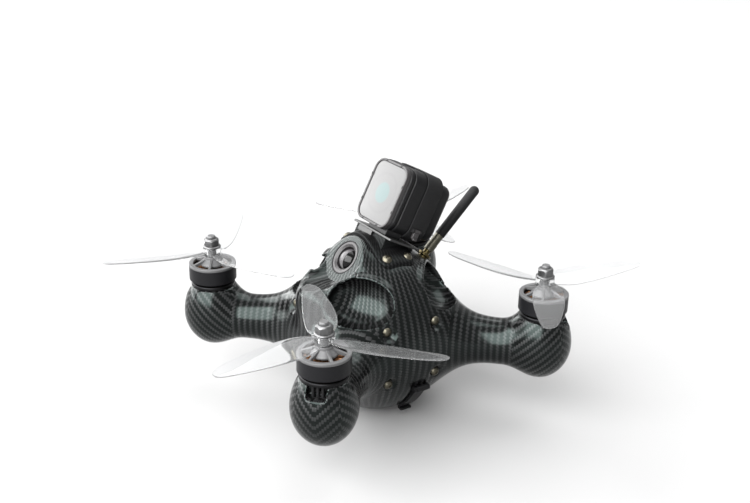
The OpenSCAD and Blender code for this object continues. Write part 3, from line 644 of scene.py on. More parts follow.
def hull(p):
    X, Y, Z = p[..., 0], p[..., 1], p[..., 2]
    ax, ay = np.abs(X), np.abs(Y)
    d, a, rr = shoulders(p)
    d = smax(d, -np.maximum((rr - (COLLAR_R + 1.6) - a) * 0.71, -(a + 0.1)), 2.0)
    # Oval scoops with a raised lip round their upper side
    qs = np.stack([ax, ay, Z], -1) - SCOOP_C
    qu, qv, qn = qs @ SCOOP_U, qs @ SCOOP_V, qs @ SCOOP_N
    e = ellipsoid((qu, qv, qn), SCOOP_R)
    lip = np.sqrt(d * d + e * e) - 1.25 * smooth(qv, -8, 4) * smooth(rr, COLLAR_R + 0.5, COLLAR_R + 4)
    d = smax(d, -e, 2.2)
    d = smin(d, lip, 1.6)
    # Dished seats of the flank screws, and a pocket on each side of the collar
    for at_, out_ in FLANK_SCREWS:
        if at_[0] > 0:
            q = np.stack([ax, Y, Z], -1) - (at_ + 2.6 * np.array(out_))
            d = smax(d, 4.7 - np.linalg.norm(q, axis=-1), 1.6)
    q = np.stack([ax, Y, Z], -1) - DIMPLE_C
    d = smax(d, -ellipsoid((q @ DIMPLE_T, q @ DIMPLE_S, q @ DIMPLE_N), DIMPLE_R), 1.6)
    # Mouth of the pilot camera
    d = smax(d, -np.maximum(rr - (FPV_R + 0.35), -(a + 1.05)), 0.3)
    d = smax(d, -np.maximum(rr - (FPV_R - 0.2), -(a + 20)), 0.3)
    # Motor seats and wire notches
    rm = np.hypot(ax - MX, ay - MY)
    near = rm < 25
    d = np.where(near, smax(d, Z - SEAT, 1.2), d)
    out = ((ax - MX) * MX + (ay - MY) * MY) / ARM_LEN
    side = (-(ax - MX) * MY + (ay - MY) * MX) / ARM_LEN
    nq = np.stack([np.abs(side) - 4.2, np.abs(Z - SEAT + 2.6) - 2.6, np.abs(out - 16) - 6.0], -1)
    notch = np.minimum(nq.max(-1), 0) + np.linalg.norm(np.maximum(nq, 0), axis=-1) - 1.0
    d = np.where(near, smax(d, -notch, 0.7), d)
    return smax(d, -Z, 0.6)


def surface(field, lo, hi, h, block=14):
    """Points and faces of the field's zero level, by surface nets on a grid of cell h, then moved
    onto the level. Only blocks that the surface may cross are sampled."""
    n = [int(math.ceil((hi[i] - lo[i]) / h / block)) * block + 1 for i in range(3)]
    v = np.empty(n, np.float32)
    nb = [(c - 1) // block for c in n]
    mid = np.stack(np.meshgrid(*[lo[i] + (np.arange(nb[i]) + 0.5) * block * h for i in range(3)],
                               indexing="ij"), -1)
    far = field(mid)
    reach = block * h * 0.87 * 1.35 + 2
    step = np.arange(block + 1) * h
    cube = np.stack(np.meshgrid(step, step, step, indexing="ij"), -1)
    for idx in np.ndindex(*nb):
        sl = tuple(slice(i * block, i * block + block + 1) for i in idx)
        if abs(far[idx]) > reach:
            v[sl] = 50.0 if far[idx] > 0 else -50.0
    for idx in np.ndindex(*nb):
        if abs(far[idx]) <= reach:
            sl = tuple(slice(i * block, i * block + block + 1) for i in idx)
            v[sl] = field(cube + np.array([lo[i] + idx[i] * block * h for i in range(3)]))
    inside = v < 0
    count = np.zeros([c - 1 for c in n], np.int8)
    corners = [(a, b, c) for a in (0, 1) for b in (0, 1) for c in (0, 1)]
    for a, b, c in corners:
        count += inside[a:n[0] - 1 + a, b:n[1] - 1 + b, c:n[2] - 1 + c]
    cells = np.argwhere((count > 0) & (count < 8))
    index = -np.ones(count.shape, np.int64)
    index[tuple(cells.T)] = np.arange(len(cells))
    total, hits = np.zeros((len(cells), 3)), np.zeros(len(cells))
    for a in corners:
        for ax in range(3):
            if a[ax]:
                continue
            b = list(a)
            b[ax] = 1
            va = v[tuple((cells + a).T)].astype(float)
            vb = v[tuple((cells + b).T)].astype(float)
            x = (va < 0) != (vb < 0)
            t = np.where(x, va / np.where(x, va - vb, 1), 0)
            pt = np.array(a, float) + t[:, None] * np.eye(3)[ax]
            total += pt * x[:, None]
            hits += x
    pts = np.array(lo) + h * (cells + total / hits[:, None])
    quads = []
    for ax in range(3):
        a = inside[tuple(slice(0, -1) if i == ax else slice(1, -1) for i in range(3))]
        b = inside[tuple(slice(1, None) if i == ax else slice(1, -1) for i in range(3))]
        e = np.argwhere(a != b)
        flip = a[tuple(e.T)]
        e = e + np.array([0 if i == ax else 1 for i in range(3)])
        u, w = [(1, 2), (2, 0), (0, 1)][ax]
        U, W = np.eye(3, dtype=int)[u], np.eye(3, dtype=int)[w]
        ring = [index[tuple((e - U - W).T)], index[tuple((e - W).T)], index[tuple(e.T)],
                index[tuple((e - U).T)]]
        q = np.stack(ring, -1)
        q[~flip] = q[~flip][:, ::-1]
        quads.append(q)
    quads = np.concatenate(quads)
    for _ in range(3):
        g, f = gradient(field, pts)
        pts = pts - g * np.clip(f, -0.4, 0.4)[:, None]
    return pts, quads


def field_normals(ob, field, limit=0.8):
    """Corner normals from the field, except on flat cut faces."""
    me = ob.data
    n = len(me.vertices)
    co = np.empty(n * 3)
    me.vertices.foreach_get("co", co)
    g, _ = gradient(field, co.reshape(n, 3) / MM)
    fn = np.empty(len(me.polygons) * 3)
    me.polygons.foreach_get("normal", fn)
    fn = fn.reshape(-1, 3)
    li = np.empty(len(me.loops), int)
    me.loops.foreach_get("vertex_index", li)
    lt = np.empty(len(me.polygons), int)
    me.polygons.foreach_get("loop_total", lt)
    face = np.repeat(np.arange(len(lt)), lt)
    a, b = g[li], fn[face]
    keep = (a * b).sum(1) > limit
    me.polygons.foreach_set("use_smooth", np.ones(len(lt), bool))
    me.normals_split_custom_set([tuple(x) for x in np.where(keep[:, None], a, b)])


def slab_of(ob, name, z0, z1):
    """The part of a closed mesh between two heights, closed again with flat faces."""
    bm = bmesh.new()
    bm.from_mesh(ob.data)
    for z, up in ((z0, False), (z1, True)):
        if z is None:
            continue
        geom = bm.verts[:] + bm.edges[:] + bm.faces[:]
        bmesh.ops.bisect_plane(bm, geom=geom, plane_co=(0, 0, z * MM), plane_no=(0, 0, 1),
                               clear_outer=up, clear_inner=not up, dist=1e-7)
        rim = [e for e in bm.edges if e.is_boundary]
        bmesh.ops.triangle_fill(bm, edges=rim, use_beauty=False, normal=(0, 0, 1 if up else -1))
    me = bpy.data.meshes.new(name)
    bm.to_mesh(me)
    bm.free()
    return show(name, me)


CELL = 0.9
pts, quads = surface(hull, (-MX - 20, -MY - 20, -4), (MX + 20, MY + 20, RIM + 33), CELL)
whole = new_object("hull_whole", pts, quads.tolist())
PARTS = [("hull_upper", "upper_shell", SEAM, None), ("hull_lower", "lower_shell", COVER, SEAM),
         ("hull_belly", "belly_cover", None, COVER)]
for name, node, z0, z1 in PARTS:
    part = slab_of(whole, name, z0, z1)
    field_normals(part, hull)
    finish(part, CARBON, "airframe", "carbon_shell", node)
bpy.data.objects.remove(whole)


# ------------------------------------------------------------------ motors and propellers

ANCHOR = {c: Matrix.Translation(Vector((SIGN[c][0] * MX, SIGN[c][1] * MY, RIM)) * MM) for c in CORNERS}
SHAFT_R = 2.5
PROP_R = 64.0
CHORD = 16.5
PROP_TURN = {"front_left": 36.8, "front_right": 21.5, "rear_left": 82.5, "rear_right": 107.2}
CAP_TURN = {"front_left": 50, "front_right": 27, "rear_left": 17, "rear_right": 40}
# Stations along a blade: share of the radius, share of the chord, pitch, rise, sweep
BLADE = np.array([(0.065, 0.55, 14, 8.4, 0.4), (0.14, 0.80, 12, 8.3, 0.5), (0.24, 1.00, 11, 8.3, 0.6),
                  (0.37, 1.05, 10, 8.4, 0.7), (0.52, 1.00, 9, 8.7, 0.5), (0.68, 0.86, 8, 9.1, 0),
                  (0.81, 0.72, 7, 9.4, -0.4), (0.905, 0.58, 6, 9.7, -0.8),
                  (0.965, 0.42, 5, 9.8, -1.2), (1, 0.16, 5, 9.9, -1.7)])


def ease(x, xs, ys):
    """Smooth curve through the points, without overshoot."""
    h, d = np.diff(xs), np.diff(ys) / np.diff(xs)
    m = np.r_[d[0], np.where(d[:-1] * d[1:] > 0, 2 * d[:-1] * d[1:] / (d[:-1] + d[1:] + 1e-12), 0), d[-1]]
    k = np.clip(np.searchsorted(xs, x) - 1, 0, len(h) - 1)
    t = (x - xs[k]) / h[k]
    return ((2 * t ** 3 - 3 * t ** 2 + 1) * ys[k] + (t ** 3 - 2 * t ** 2 + t) * h[k] * m[k]
            + (3 * t ** 2 - 2 * t ** 3) * ys[k + 1] + (t ** 3 - t ** 2) * h[k] * m[k + 1])


def blade(name, hand):
    """One blade out along X, from inside the hub to its rounded tip."""
    rows = 44
    share = BLADE[0, 0] + (1 - BLADE[0, 0]) * np.sin(np.pi / 2 * np.arange(rows) / (rows - 1)) ** 0.9
    around = 2 * np.pi * np.arange(36) / 36
    rings = []
    for s in share:
        width, pitch, rise, sweep = [ease(s, BLADE[:, 0], BLADE[:, k]) for k in range(1, 5)]
        c, a, t = width * CHORD, math.radians(pitch), 0.9 - 0.35 * s
        # Flat in the middle with round edges
        x = 0.5 * c * np.sign(np.cos(around)) * np.abs(np.cos(around)) ** 0.75
        lens = np.sign(np.sin(around)) * np.abs(np.sin(around)) ** 0.6
        z = lens * np.where(lens > 0, 0.50, 0.34) * t * 0.9 + 0.05 * c * (0.25 - (x / c) ** 2)
        rings.append([(s * PROP_R, hand * (xx * math.cos(a) + sweep) - hand * zz * math.sin(a),
                       xx * math.sin(a) + zz * math.cos(a) + rise) for xx, zz in zip(x, z)])
    return loft(name, rings)


def propeller(c):
    sx, sy = SIGN[c]
    hub = lathe("hub", [(SHAFT_R + 0.05, 5.8), (4.6, 5.8), (5.1, 6.1), (5.4, 6.7), (5.4, 10.5), (5.15, 11.0),
                        (4.5, 11.3), (SHAFT_R + 0.05, 11.3)], 64)
    for k in range(3):
        boolean(hub, place(blade("blade", sx * sy), turn(120 * k)), "UNION")
    boolean(hub, lathe("bore", [(0, 5), (SHAFT_R + 0.05, 5), (SHAFT_R + 0.05, 13), (0, 13)], 48))
    place(hub, ANCHOR[c] @ turn(PROP_TURN[c]))
    hub.name = hub.data.name = "prop_" + c
    shade(hub, 50)
    finish(hub, CLEAR, "rotor_" + c, "prop_clear", "propeller_" + c)


def cap(c):
    """Silver cap: rim ring, a cone round the hub, six thin ribs, and the threaded shaft."""
    r = BELL_R
    parts = [soften(lathe("rim", [(r - 2.6, 0), (r, 0), (r, 1.6), (r - 2.6, 1.6)]), 0.3)]
    parts.append(soften(lathe("hub", [(0, 0.8), (7.3, 0.4), (7.3, 1.4), (6.2, 2.5), (4.7, 4.0), (4.6, 5.4),
                                      (4.2, 5.8), (0, 5.8)]), 0.2))
    for k in range(6):
        rib = []
        for s in np.linspace(0, 1, 9):
            x = 3.6 + (r - 1.9 - 3.6) * s
            top = 5.1 - 3.55 * s ** 0.85
            low = 1.6 - 1.5 * s
            w = 0.9 - 0.25 * s + 0.7 * max(0.0, s - 0.8)
            rib.append([(x, -w, low), (x, -w, top - 0.3), (x, -w + 0.25, top), (x, w - 0.25, top),
                        (x, w, top - 0.3), (x, w, low)])
        parts.append(shade(loft("rib", rib, turn(60 * k)), 30))
    thread, z = [(0, 5.0), (SHAFT_R, 5.0)], 5.2
    while z < 17.7:
        thread += [(SHAFT_R, z), (SHAFT_R - 0.3, z + 0.2), (SHAFT_R, z + 0.4)]
        z += 0.5
    thread += [(SHAFT_R - 0.4, 18.35), (0, 18.35)]
    parts.append(shade(lathe("shaft", thread, 48), 30))
    parts.append(lathe("axle", [(0, -11.6), (1.5, -11.6), (1.5, 1.4), (0, 1.4)], 32))
    ob = place(join("cap_" + c, parts), ANCHOR[c] @ turn(CAP_TURN[c]))
    finish(ob, CAP_METAL, "rotor_" + c, "motor_metal", "rotor_cap_" + c)


def bell(c):
    r = BELL_R
    ob = lathe("bell_" + c, [(r - 1.9, -8.8), (r - 0.7, -8.8), (r, -8.1), (r, -0.12), (r - 0.12, 0),
                             (r - 1.9, 0)], 128, ANCHOR[c])
    shade(ob, 35)
    finish(ob, BELL, "rotor_" + c, "bell_black", "rotor_ring_" + c)


def nut(c):
    """Flanged lock nut with its plastic collar."""
    hexed = puck("hex", hexagon(4.62), 12.0, 16.3, 0.3, steps=3)
    cone = lathe("cone", [(0, 11.5), (6.0, 11.5), (4.75, 12.4), (4.62, 15.5), (3.9, 16.35), (0, 16.35)], 64)
    flange = [(SHAFT_R, 11.3), (5.3, 11.3), (5.3, 11.9), (4.6, 12.5), (SHAFT_R, 12.5)]
    collar = [(SHAFT_R, 16.0), (3.9, 16.0), (3.75, 16.5), (3.3, 16.8), (SHAFT_R, 16.8)]
    parts = [shade(boolean(hexed, cone, "INTERSECT"), 30), soften(lathe("flange", flange), 0.16),
             soften(lathe("collar", collar), 0.14)]
    ob = place(join("nut_" + c, parts), ANCHOR[c] @ turn(PROP_TURN[c] * 1.7))
    finish(ob, STEEL, "rotor_" + c, "motor_metal", "prop_nut_" + c)


def motor_base(c):
    z = SEAT - RIM
    r = BELL_R
    plate = lathe("plate", [(0, z), (r - 1.0, z), (r - 1.0, z + 1.5), (r - 1.5, z + 2.0), (r - 3.4, z + 2.0),
                            (r - 3.4, z + 2.6), (0, z + 2.6)])
    tube = lathe("tube", [(1.55, z + 2.0), (3.4, z + 2.0), (3.4, z + 11.3), (1.55, z + 11.3)], 48)
    ob = place(join("base_" + c, [soften(plate, 0.15), shade(tube, 40)]), ANCHOR[c])
    finish(ob, BASE_METAL, "airframe", "motor_metal", "motor_base_" + c)


def stator(c):
    """Twelve teeth of stacked steel, each with its coil."""
    r, z = BELL_R - 2.35, SEAT - RIM
    core = [(3.45, z + 3.6), (6.0, z + 3.6), (6.0, z + 10.4), (3.45, z + 10.4)]
    teeth = [soften(lathe("core", core, 48), 0.1)]
    for k in range(12):
        shoe = prism("shoe", [(r * 0.9, -2.6), (r - 0.25, -2.35), (r - 0.25, 2.35), (r * 0.9, 2.6)], z + 3.6,
                     z + 10.4, turn(30 * k + 15))
        coil = []
        for s in np.linspace(0, 1, 13):
            x = 5.9 + (r * 0.9 - 5.9) * s
            fat = (0.85 + 0.7 * s) + 0.12 * (round(s * 12) % 2)
            coil.append([(x, yy * fat, z + 7.0 + zz * (3.4 + 0.5 * fat)) for yy, zz in
                         [(math.cos(a), math.sin(a)) for a in np.linspace(0, 2 * math.pi, 17)[:-1]]])
        teeth += [shoe, shade(loft("coil", coil, turn(30 * k + 15)), 60)]
    ob = place(join("stator_windings_" + c, teeth), ANCHOR[c])
    finish(ob, COPPER, "airframe", "winding", "stator_" + c)


for c in CORNERS:
    propeller(c)
    cap(c)
    bell(c)
    nut(c)
    motor_base(c)
    stator(c)


# ------------------------------------------------------------------ screws, pilot camera, antenna

def level_top(x, y):
    """Point of the hull's top at a place in plan, and the skin's direction there."""
    p, n = level_set(reach((x, y, RIM - 10), (0, 0, 1))[None], body)
    return p[0], n[0]


def aimed(point, direction):
    """Matrix that turns local +Z to a direction at a point in millimetres."""
    q = Vector([float(c) for c in direction]).to_track_quat("Z", "Y")
    return at(*[float(c) for c in point]) @ q.to_matrix().to_4x4()


def dome_head(name, m, r=2.8, rise=1.7, length=4.0):
    """Screw with a domed head and a small recess in its crown."""
    big = (r * r + rise * rise) / (2 * rise)
    prof = [(0, -length), (1.5, -length), (1.5, -0.7), (r, -0.7), (r, 0.0)]
    for k in range(1, 9):
        x = r + (0.95 - r) * k / 8
        prof.append((x, math.sqrt(big * big - x * x) - (big - rise)))
    prof += [(0.85, rise - 0.75), (0, rise - 0.85)]
    return shade(lathe(name, prof, 40, m), 40)


def body_screws():
    parts = [dome_head("screw", aimed(p - 1.55 * np.array(o), o)) for p, o in FLANK_SCREWS]
    for x in (-BASE_SCREW[0], BASE_SCREW[0]):
        for y in BASE_SCREW[1:]:
            p, n = level_top(x, y)
            parts.append(dome_head("screw", aimed(p + (BASE_T - 0.1) * n, n), rise=1.5, length=5.5))
    finish(join("screw_heads", parts), SCREW, "airframe", "screw_steel", "body_screws")


FPV = at(*[float(c) for c in FPV_C]) @ turn(90 - math.degrees(FPV_TILT), "X")
EYE_R, EYE_Z, EYE_CUT, LENS_R = FPV_R - 2.7, -5.5, 2.0, 6.7


def arc(r, z0, a, b, n):
    """Points (r, z) of a circle about (0, z0), from height a to height b above its middle."""
    t0, t1 = math.asin(a / r), math.asin(b / r)
    return [(r * math.cos(t0 + (t1 - t0) * k / n), z0 + r * math.sin(t0 + (t1 - t0) * k / n))
            for k in range(n + 1)]


def pilot_camera():
    r = FPV_R
    bezel = lathe("bezel_ring", [(EYE_R + 0.2, -9), (r - 0.4, -9), (r - 0.4, -1), (r + 0.28, -1),
                                 (r + 0.28, -0.55), (r, -0.25), (r - 0.9, -0.2), (r - 1.5, -0.35),
                                 (r - 1.9, -0.8), (EYE_R + 0.2, -1.1)], 128)
    axle = lathe("axle", [(0, -20), (1.05, -20), (1.05, 20), (0, 20)], 32, at(0, 0, EYE_Z) @ turn(90, "Y"))
    boolean(bezel, axle)
    place(shade(bezel, 40), FPV)
    finish(bezel, GREY, "airframe", "grey_ring", "fpv_bezel")
    # Thin black ring round the bezel: painted shade in the groove between the grey ring and the collar.
    groove_shade = lathe("bezel_groove_shade", [(r + 0.1, -0.5), (r + 0.8, -0.5), (r + 0.8, -0.02), (r + 0.65, 0.05),
                                    (r + 0.25, 0.05), (r + 0.1, -0.02)], 128, FPV)
    finish(shade(groove_shade, 40), SOFT_BLACK, "airframe", "camera_black")

    prof = [(0, -11.2), (6, -11.2)] + arc(EYE_R, 0, -math.sqrt(EYE_R ** 2 - 36), EYE_CUT, 28)
    prof += [(EYE_R - 1.8, EYE_CUT), (EYE_R - 1.8, EYE_CUT - 1.4), (0, EYE_CUT - 1.4)]
    parts = [shade(lathe("ball", prof, 96), 40),
             puck("back", rect(16, 16, 1.5), -12.2, -11.0, 0.3),
             shade(lathe("pin", [(0, 0.9 - r), (1, 0.9 - r), (1, r - 0.9), (0, r - 0.9)], 32,
                         turn(90, "Y")), 40)]
    eye = place(join("pilot_camera_body", parts), FPV @ at(0, 0, EYE_Z))
    finish(eye, BLACK, "pilot_camera", "camera_black", "fpv_camera")

    base = math.sqrt(EYE_R ** 2 - EYE_CUT ** 2) - 0.08
    sink = math.sqrt(LENS_R ** 2 - base ** 2)
    top = [(LENS_R * math.sin(t), LENS_R * math.cos(t) - sink)
           for t in np.linspace(math.asin(base / LENS_R), 0, 24)]
    lens = lathe("pilot_camera_dome", [(0, -1.35), (EYE_R - 1.85, -1.35), (EYE_R - 1.85, 0.0)] + top, 128,
                 FPV @ at(0, 0, EYE_Z + EYE_CUT))
    finish(shade(lens, 40), DOME, "pilot_camera", "lens_glass", "fpv_lens")


def seam_line(name, points, width, material):
    """Fine dark line that lies in the hull's skin along a closed run of points."""
    pts, n = level_set(np.array(points, float), hull)
    rings = []
    for k in range(len(pts)):
        t = unit(pts[(k + 1) % len(pts)] - pts[k - 1])
        b = np.cross(n[k], t)
        rings.append([pts[k] - 0.02 * n[k] + width * (math.cos(a) * b + math.sin(a) * n[k] * 0.5)
                      for a in np.linspace(0, 2 * math.pi, 9)[:-1]])
    rings.append(rings[0])
    ob = shade(loft(name, rings, caps=False), 70)
    finish(ob, material, "airframe", "camera_black")


def nose_plug():
    """Round plug with one flat side, low on the nose ridge."""
    c, n = level_set(np.array([[1.5, -36.0, RIM + 6.5]]), body)
    t = unit(np.cross(n[0], (1, 0, 0)))
    b = np.cross(t, n[0])
    run = [c[0] + 3.4 * (math.cos(a) * b + math.sin(a) * t)
           for a in np.linspace(math.radians(-50), math.radians(230), 40)]
    flat = [run[-1] + (run[0] - run[-1]) * k / 12 for k in range(1, 12)]
    seam_line("nose_plug_outline", run + flat, 0.16, BLACK)


WHIP = at(0, 33.4, RIM + 6.2) @ turn(WHIP_TILT - 90, "X")


def antenna():
    parts = [soften(lathe("thread", [(0, -7), (3.1, -7), (3.1, 2.1), (0, 2.1)], 64), 0.2),
             puck("hex", hexagon(4.6), 2.0, 3.6, 0.25),
             shade(lathe("neck", [(0, 3.4), (2.2, 3.4), (2.2, 6), (0, 6)], 48), 40)]
    finish(place(join("antenna_plug", parts), WHIP), BRASS, "airframe", "brass", "antenna_connector")
    prof = [(0, 6), (2.8, 6), (3.0, 6.2), (3.0, 11.3), (2.75, 11.5), (2.75, 11.7), (2.8, 11.8), (2.8, 14.2),
            (2.68, 14.3), (2.8, 14.4), (2.8, 17.5), (0, 17.6)]
    barrel = shade(lathe("antenna_barrel_turned", prof, 96, WHIP), 30)
    finish(barrel, NICKEL, "airframe", "grey_ring", "antenna_barrel")
    r, end = 3.05, WHIP_LEN
    tip = [(r * math.cos(t), end - r + r * math.sin(t)) for t in np.linspace(0, math.pi / 2, 14)]
    whip = lathe("antenna_sleeve", [(0, 17.6), (r - 0.2, 17.6), (r, 17.8)] + tip[:-1] + [(0, end)], 96, WHIP)
    finish(shade(whip, 50), SOFT_BLACK, "airframe", "rubber_black", "antenna_whip")


# ------------------------------------------------------------------ action camera and its bracket

CAM = at(*CAM_C) @ turn(-CAM_TILT, "X")
UPRIGHT = turn(90, "X")      # stands a plate up: its height becomes depth along Y


def slab(name, w, h, r, y0, y1, soft):
    """Rounded plate that stands across the action camera from depth y0 to depth y1."""
    return puck(name, rect(w, h, r), -y1, -y0, soft, CAM @ UPRIGHT)


def brick(name, x, y, z, soft):
    """Block with rounded edges in the action camera's axes."""
    return puck(name, rect(x[1] - x[0], y[1] - y[0], soft * 1.5, (x[0] + x[1]) / 2, (y[0] + y[1]) / 2),
                z[0], z[1], soft, CAM, steps=3)


def ring_slab(name, outer, inner, y0, y1, soft):
    """Rounded frame that stands across the action camera. outer and inner are (w, h, r)."""
    out_, in_ = rect(*outer), rect(*inner)
    rings = []
    for edge, sign in ((out_, 1), (in_, -1)):
        part = [(edge(sign * soft * (1 - math.sin(a))), -y1 + soft * (1 - math.cos(a)))
                for a in np.linspace(0, math.pi / 2, 4)]
        part += [(edge(sign * soft * (1 - math.cos(a))), -y0 - soft * (1 - math.sin(a)))
                 for a in np.linspace(0, math.pi / 2, 4)]
        rings += [[(x, y, z) for x, y in pts] for pts, z in (part if sign == 1 else part[::-1])]
    rings.append(rings[0])
    return shade(loft(name, rings, CAM @ UPRIGHT, caps=False), 50)


def action_camera():
    w, h, deep = CAM_SIZE
    main = slab("main", w, h, 8.0, 6.4, 3 + deep, 0.8)
    boolean(main, lathe("bore", [(0, -0.6), (4.05, -0.6), (4.05, 8), (0, 8)], 64, CAM @ at(0, 10, h / 2 - 2)))
    parts = [shade(main, 50), slab("core", w - 1.4, h - 1.4, 7.3, 3.0, 6.45, 0.3),
             slab("front", w - 0.5, h - 0.5, 7.8, 3.0, 5.9, 1.1),
             slab("rear", w - 4, h - 4.5, 6.0, deep, 12.5 + deep, 2.8),
             brick("foot", (-4, 14), (SHELF_Y[0] + 1.4, BAND_Y[0] - 0.4), (SHELF_TOP, 2 - h / 2), 0.3)]
    case = join("camera_shell", parts)
    finish(case, BLACK, "airframe", "camera_black", "camera_case")

    bezel = ring_slab("camera_bezel_frame", (32, 37, 7), (29.2, 34.2, 5.6), 0, 3, 0.35)
    finish(bezel, GREY, "airframe", "grey_ring", "camera_bezel")
    clips = []
    for x, z, long in [(sx * 15.35, sz * 7.6, 0) for sx in (-1, 1) for sz in (-1, 1)] + \
                      [(sx * 7.2, sz * 17.85, 1) for sx in (-1, 1) for sz in (-1, 1)]:
        size = (1.5, 0.95) if long else (0.95, 1.5)
        clips.append(puck("clip", rect(*size, 0.3, x, z), -1.2, 0.22, 0.12, CAM @ UPRIGHT, steps=2))
    finish(join("camera_bezel_clips", clips), BLACK, "airframe", "camera_black")
    window = slab("camera_window_glass", 29.1, 34.1, 5.55, 0.5, 3.0, 0.3)
    finish(window, WINDOW, "airframe", "window", "camera_window")

    band = ring_slab("strap", (w + 1.6, h + 1.5, 8.6), (w + 0.04, h + 0.04, 8.02), *BAND_Y, 0.25)
    pin = [(0, -0.2), (0.5, -0.2), (0.5, HOOK_Y[1] - HOOK_Y[0] + 2.2), (0, HOOK_Y[1] - HOOK_Y[0] + 2.2)]
    parts = [band, lathe("pin", pin, 24, CAM @ at(HOOK[0], HOOK_Y[1] + 1.1, HOOK[1]) @ UPRIGHT)]
    for y in (HOOK_Y[0] - 1.3, HOOK_Y[1] + 0.1):
        parts.append(brick("ear", (w / 2 + 0.1, HOOK[0]), (y, y + 1.2), (HOOK[1] - 1.1, HOOK[1] + 1.1),
                           0.15))
        parts.append(soften(lathe("eye", [(0, 0), (1.1, 0), (1.1, 1.2), (0, 1.2)], 40,
                                  CAM @ at(HOOK[0], y + 1.2, HOOK[1]) @ UPRIGHT), 0.12))
    finish(join("camera_strap", parts), SOFT_BLACK, "airframe", "rubber_black", "camera_band")

    y0, y1 = HOOK_Y
    plate = brick("plate", (HOOK[0] - 0.95, HOOK[0] + 0.8), (y0, y1), (HOOK[1] - 4.4, HOOK[1]), 0.25)
    knuckle = lathe("knuckle", [(0, 0), (1.1, 0), (1.1, y1 - y0), (0, y1 - y0)], 48,
                    CAM @ at(HOOK[0], y1, HOOK[1]) @ UPRIGHT)
    lip = brick("lip", (HOOK[0] - 0.2, HOOK[0] + 1.5), (y0 + 0.6, y1 - 0.6),
                (HOOK[1] - 5.2, HOOK[1] - 3.8), 0.25)
    for piece in (plate, knuckle, lip):
        boolean(piece, lathe("bore", [(0, 0), (0.56, 0), (0.56, 9), (0, 9)], 32,
                             CAM @ at(HOOK[0], y1 + 2, HOOK[1]) @ UPRIGHT))
    finish(join("strap_buckle", [shade(plate, 40), shade(knuckle, 40), shade(lip, 40)]), GREY, "band_latch",
           "bracket_metal", "band_latch")

    button = puck("shutter_cap", disc(4.0), 0, 2.6, 0.4, CAM @ at(0, 10, h / 2 - 2))
    finish(button, SOFT_BLACK, "shutter_button", "camera_black", "shutter_button")


def bracket():
    z = SHELF_TOP - SHELF_T
    x0, x1 = SHELF_X
    y0, y1 = SHELF_Y
    shelf = puck("shelf", rect(x1 - x0, y1 - y0, 1.4, (x0 + x1) / 2, (y0 + y1) / 2), z, SHELF_TOP, 0.22, CAM)
    leg = brick("leg", (-11.5, 2.2), (y0 + 1.1, y0 + 2.3), (z - 3.4, z + 0.4), 0.2)
    finish(join("bracket_sheet", [shelf, leg]), SHEET, "airframe", "bracket_metal", "camera_bracket")


def base_field(p):
    """Plate that hugs the hull's shoulders, with a wedge up to the shelf."""
    X, Y, Z = p[..., 0], p[..., 1], p[..., 2]
    skin, a, rr = shoulders(p)
    qx, qy = np.abs(X) - 25.5 + 6, np.abs(Y - 1.8) - 11.5 + 6
    plan = np.minimum(np.maximum(qx, qy), 0) + np.hypot(np.maximum(qx, 0), np.maximum(qy, 0)) - 6
    plate = smax(skin - BASE_T, plan, 0.9)
    t = math.radians(CAM_TILT)
    q = p - np.array(CAM_C)
    ly = q[..., 1] * math.cos(t) - q[..., 2] * math.sin(t)
    lz = q[..., 1] * math.sin(t) + q[..., 2] * math.cos(t)
    wedge = np.maximum.reduce([np.abs(X) - 15, SHELF_Y[0] + 2.3 - ly, ly - 25.5, Y - 21, -Y - 12])
    d = smin(plate, wedge, 0.8)
    d = smax(d, lz - (SHELF_TOP - SHELF_T), 0.2)
    d = np.maximum(d, -(skin + 0.25))
    d = smax(d, -np.maximum(rr - (COLLAR_R + 0.8), -(a + 22)), 0.5)
    return np.maximum(d, 86 - Z)


def bracket_foot():
    pts, quads = surface(base_field, (-27, -12, 85), (27, 22, 112), 0.6)
    ob = new_object("bracket_foot_plate", pts, quads.tolist())
    field_normals(ob, base_field)
    finish(ob, DULL_CARBON, "airframe", "carbon_shell", "bracket_base")


body_screws()
pilot_camera()
nose_plug()
antenna()
action_camera()
bracket()
bracket_foot()


# ------------------------------------------------------------------ finishes of the CAD pieces

FINISH = {
    SCREW: "body_screws motor_screws",
    GREEN: "power_board flight_controller video_transmitter radio_receiver",
    SOFT_BLACK: "inner_frame camera_band shutter_button antenna_whip motor_wires",
    BRASS: "board_standoffs antenna_connector", WRAP: "battery", YELLOW: "battery_plug",
    GREY: "fpv_bezel fpv_lens camera_bezel band_latch", WINDOW: "camera_window", NICKEL: "antenna_barrel",
    BLACK: "fpv_camera bracket_base camera_case latch_hinge_left latch_hinge_right belly_latch_left "
           "belly_latch_right", SHEET: "camera_bracket"}
CORNER_FINISH = {"motor_base_": BASE_METAL, "stator_": COPPER, "rotor_ring_": BELL, "rotor_cap_": CAP_METAL,
                 "propeller_": CLEAR, "prop_nut_": STEEL}
FINISHED = [(node, mat) for mat, nodes in FINISH.items() for node in nodes.split()]
FINISHED += [(kind + c, mat) for kind, mat in CORNER_FINISH.items() for c in CORNERS]
for node, mat in FINISHED:
    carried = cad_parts[node].data.materials
    carried.clear()
    carried.append(mat)


# ------------------------------------------------------------------ floor, lights, camera

def floor():
    """Wide sheet of paper under the object."""
    half = 12.0
    ob = new_object("studio_floor", [(-half, -half, 0), (half, -half, 0), (half, half, 0), (-half, half, 0)],
                    [(0, 1, 2, 3)], 1.0)
    g = Nodes("studio_paper")
    n = g.noise(3.0, 3.0)
    g.set(Base_Color=g.mix(n, (0.233, 0.233, 0.233), (0.240, 0.240, 0.240)), Roughness=0.9,
          Specular_IOR_Level=0.05)
    ob.data.materials.append(g.mat)


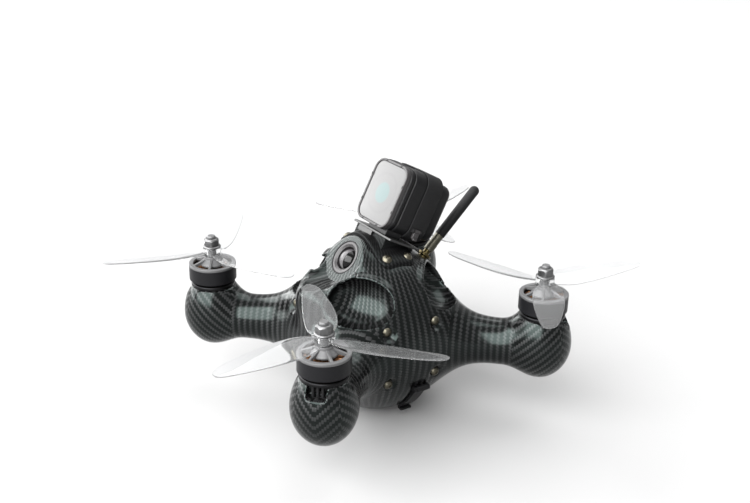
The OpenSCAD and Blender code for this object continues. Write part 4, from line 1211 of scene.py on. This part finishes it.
# Camera: direction round the object, height above it, tilt about its own axis
CAM_YAW, CAM_PITCH, CAM_ROLL = math.radians(57.338), math.radians(22.041), math.radians(1.0387)
CAM_AT = Vector((0.475695, -0.304396, 0.245944 + RIM * MM))
fwd = Vector((-math.sin(CAM_YAW) * math.cos(CAM_PITCH), math.cos(CAM_YAW) * math.cos(CAM_PITCH),
              -math.sin(CAM_PITCH)))
right = Vector((math.cos(CAM_YAW), math.sin(CAM_YAW), 0))
up = right.cross(fwd)
right, up = (math.cos(CAM_ROLL) * right + math.sin(CAM_ROLL) * up,
             -math.sin(CAM_ROLL) * right + math.cos(CAM_ROLL) * up)
cam_data = bpy.data.cameras.new("camera")
cam_data.sensor_width = 36
cam_data.lens = 50.917
cam = show("camera", cam_data)
cam.matrix_world = Matrix.Translation(CAM_AT) @ Matrix((right, up, -fwd)).transposed().to_4x4()
bpy.context.scene.camera = cam

floor()
AIM, LIGHT_DISTANCE = Vector((0, 0, 0.06)), 9.0


def softbox(name, azimuth, height, wide, tall, glow):
    """Rectangular light that faces the object. wide and tall are the half angles that it covers, and
    glow is how bright its face looks."""
    a, e = math.radians(azimuth), math.radians(height)
    out = Vector((math.cos(a) * math.cos(e), math.sin(a) * math.cos(e), math.sin(e)))
    w, h = [2 * LIGHT_DISTANCE * math.tan(math.radians(x)) for x in (wide, tall)]
    data = bpy.data.lights.new(name, "AREA")
    data.shape, data.size, data.size_y, data.energy = "RECTANGLE", w, h, glow * math.pi * w * h
    ob = show(name, data)
    ob.matrix_world = (Matrix.Translation(AIM + LIGHT_DISTANCE * out)
                       @ (-out).to_track_quat("-Z", "Y").to_matrix().to_4x4())
    ob.visible_camera = False
    ob.visible_transmission = False


softbox("left_box", -149, 26, 33, 30, 7.6)
softbox("front_box", -72, 36, 34, 28, 12.3)
softbox("top_box", 115, 62, 26, 24, 4.2)
world = bpy.data.worlds.new("studio")
bpy.context.scene.world = world
world.use_nodes = True
world.node_tree.nodes["Background"].inputs[0].default_value = (1, 1, 1, 1)
world.node_tree.nodes["Background"].inputs[1].default_value = 0.62
bpy.context.scene.view_settings.view_transform = "Standard"
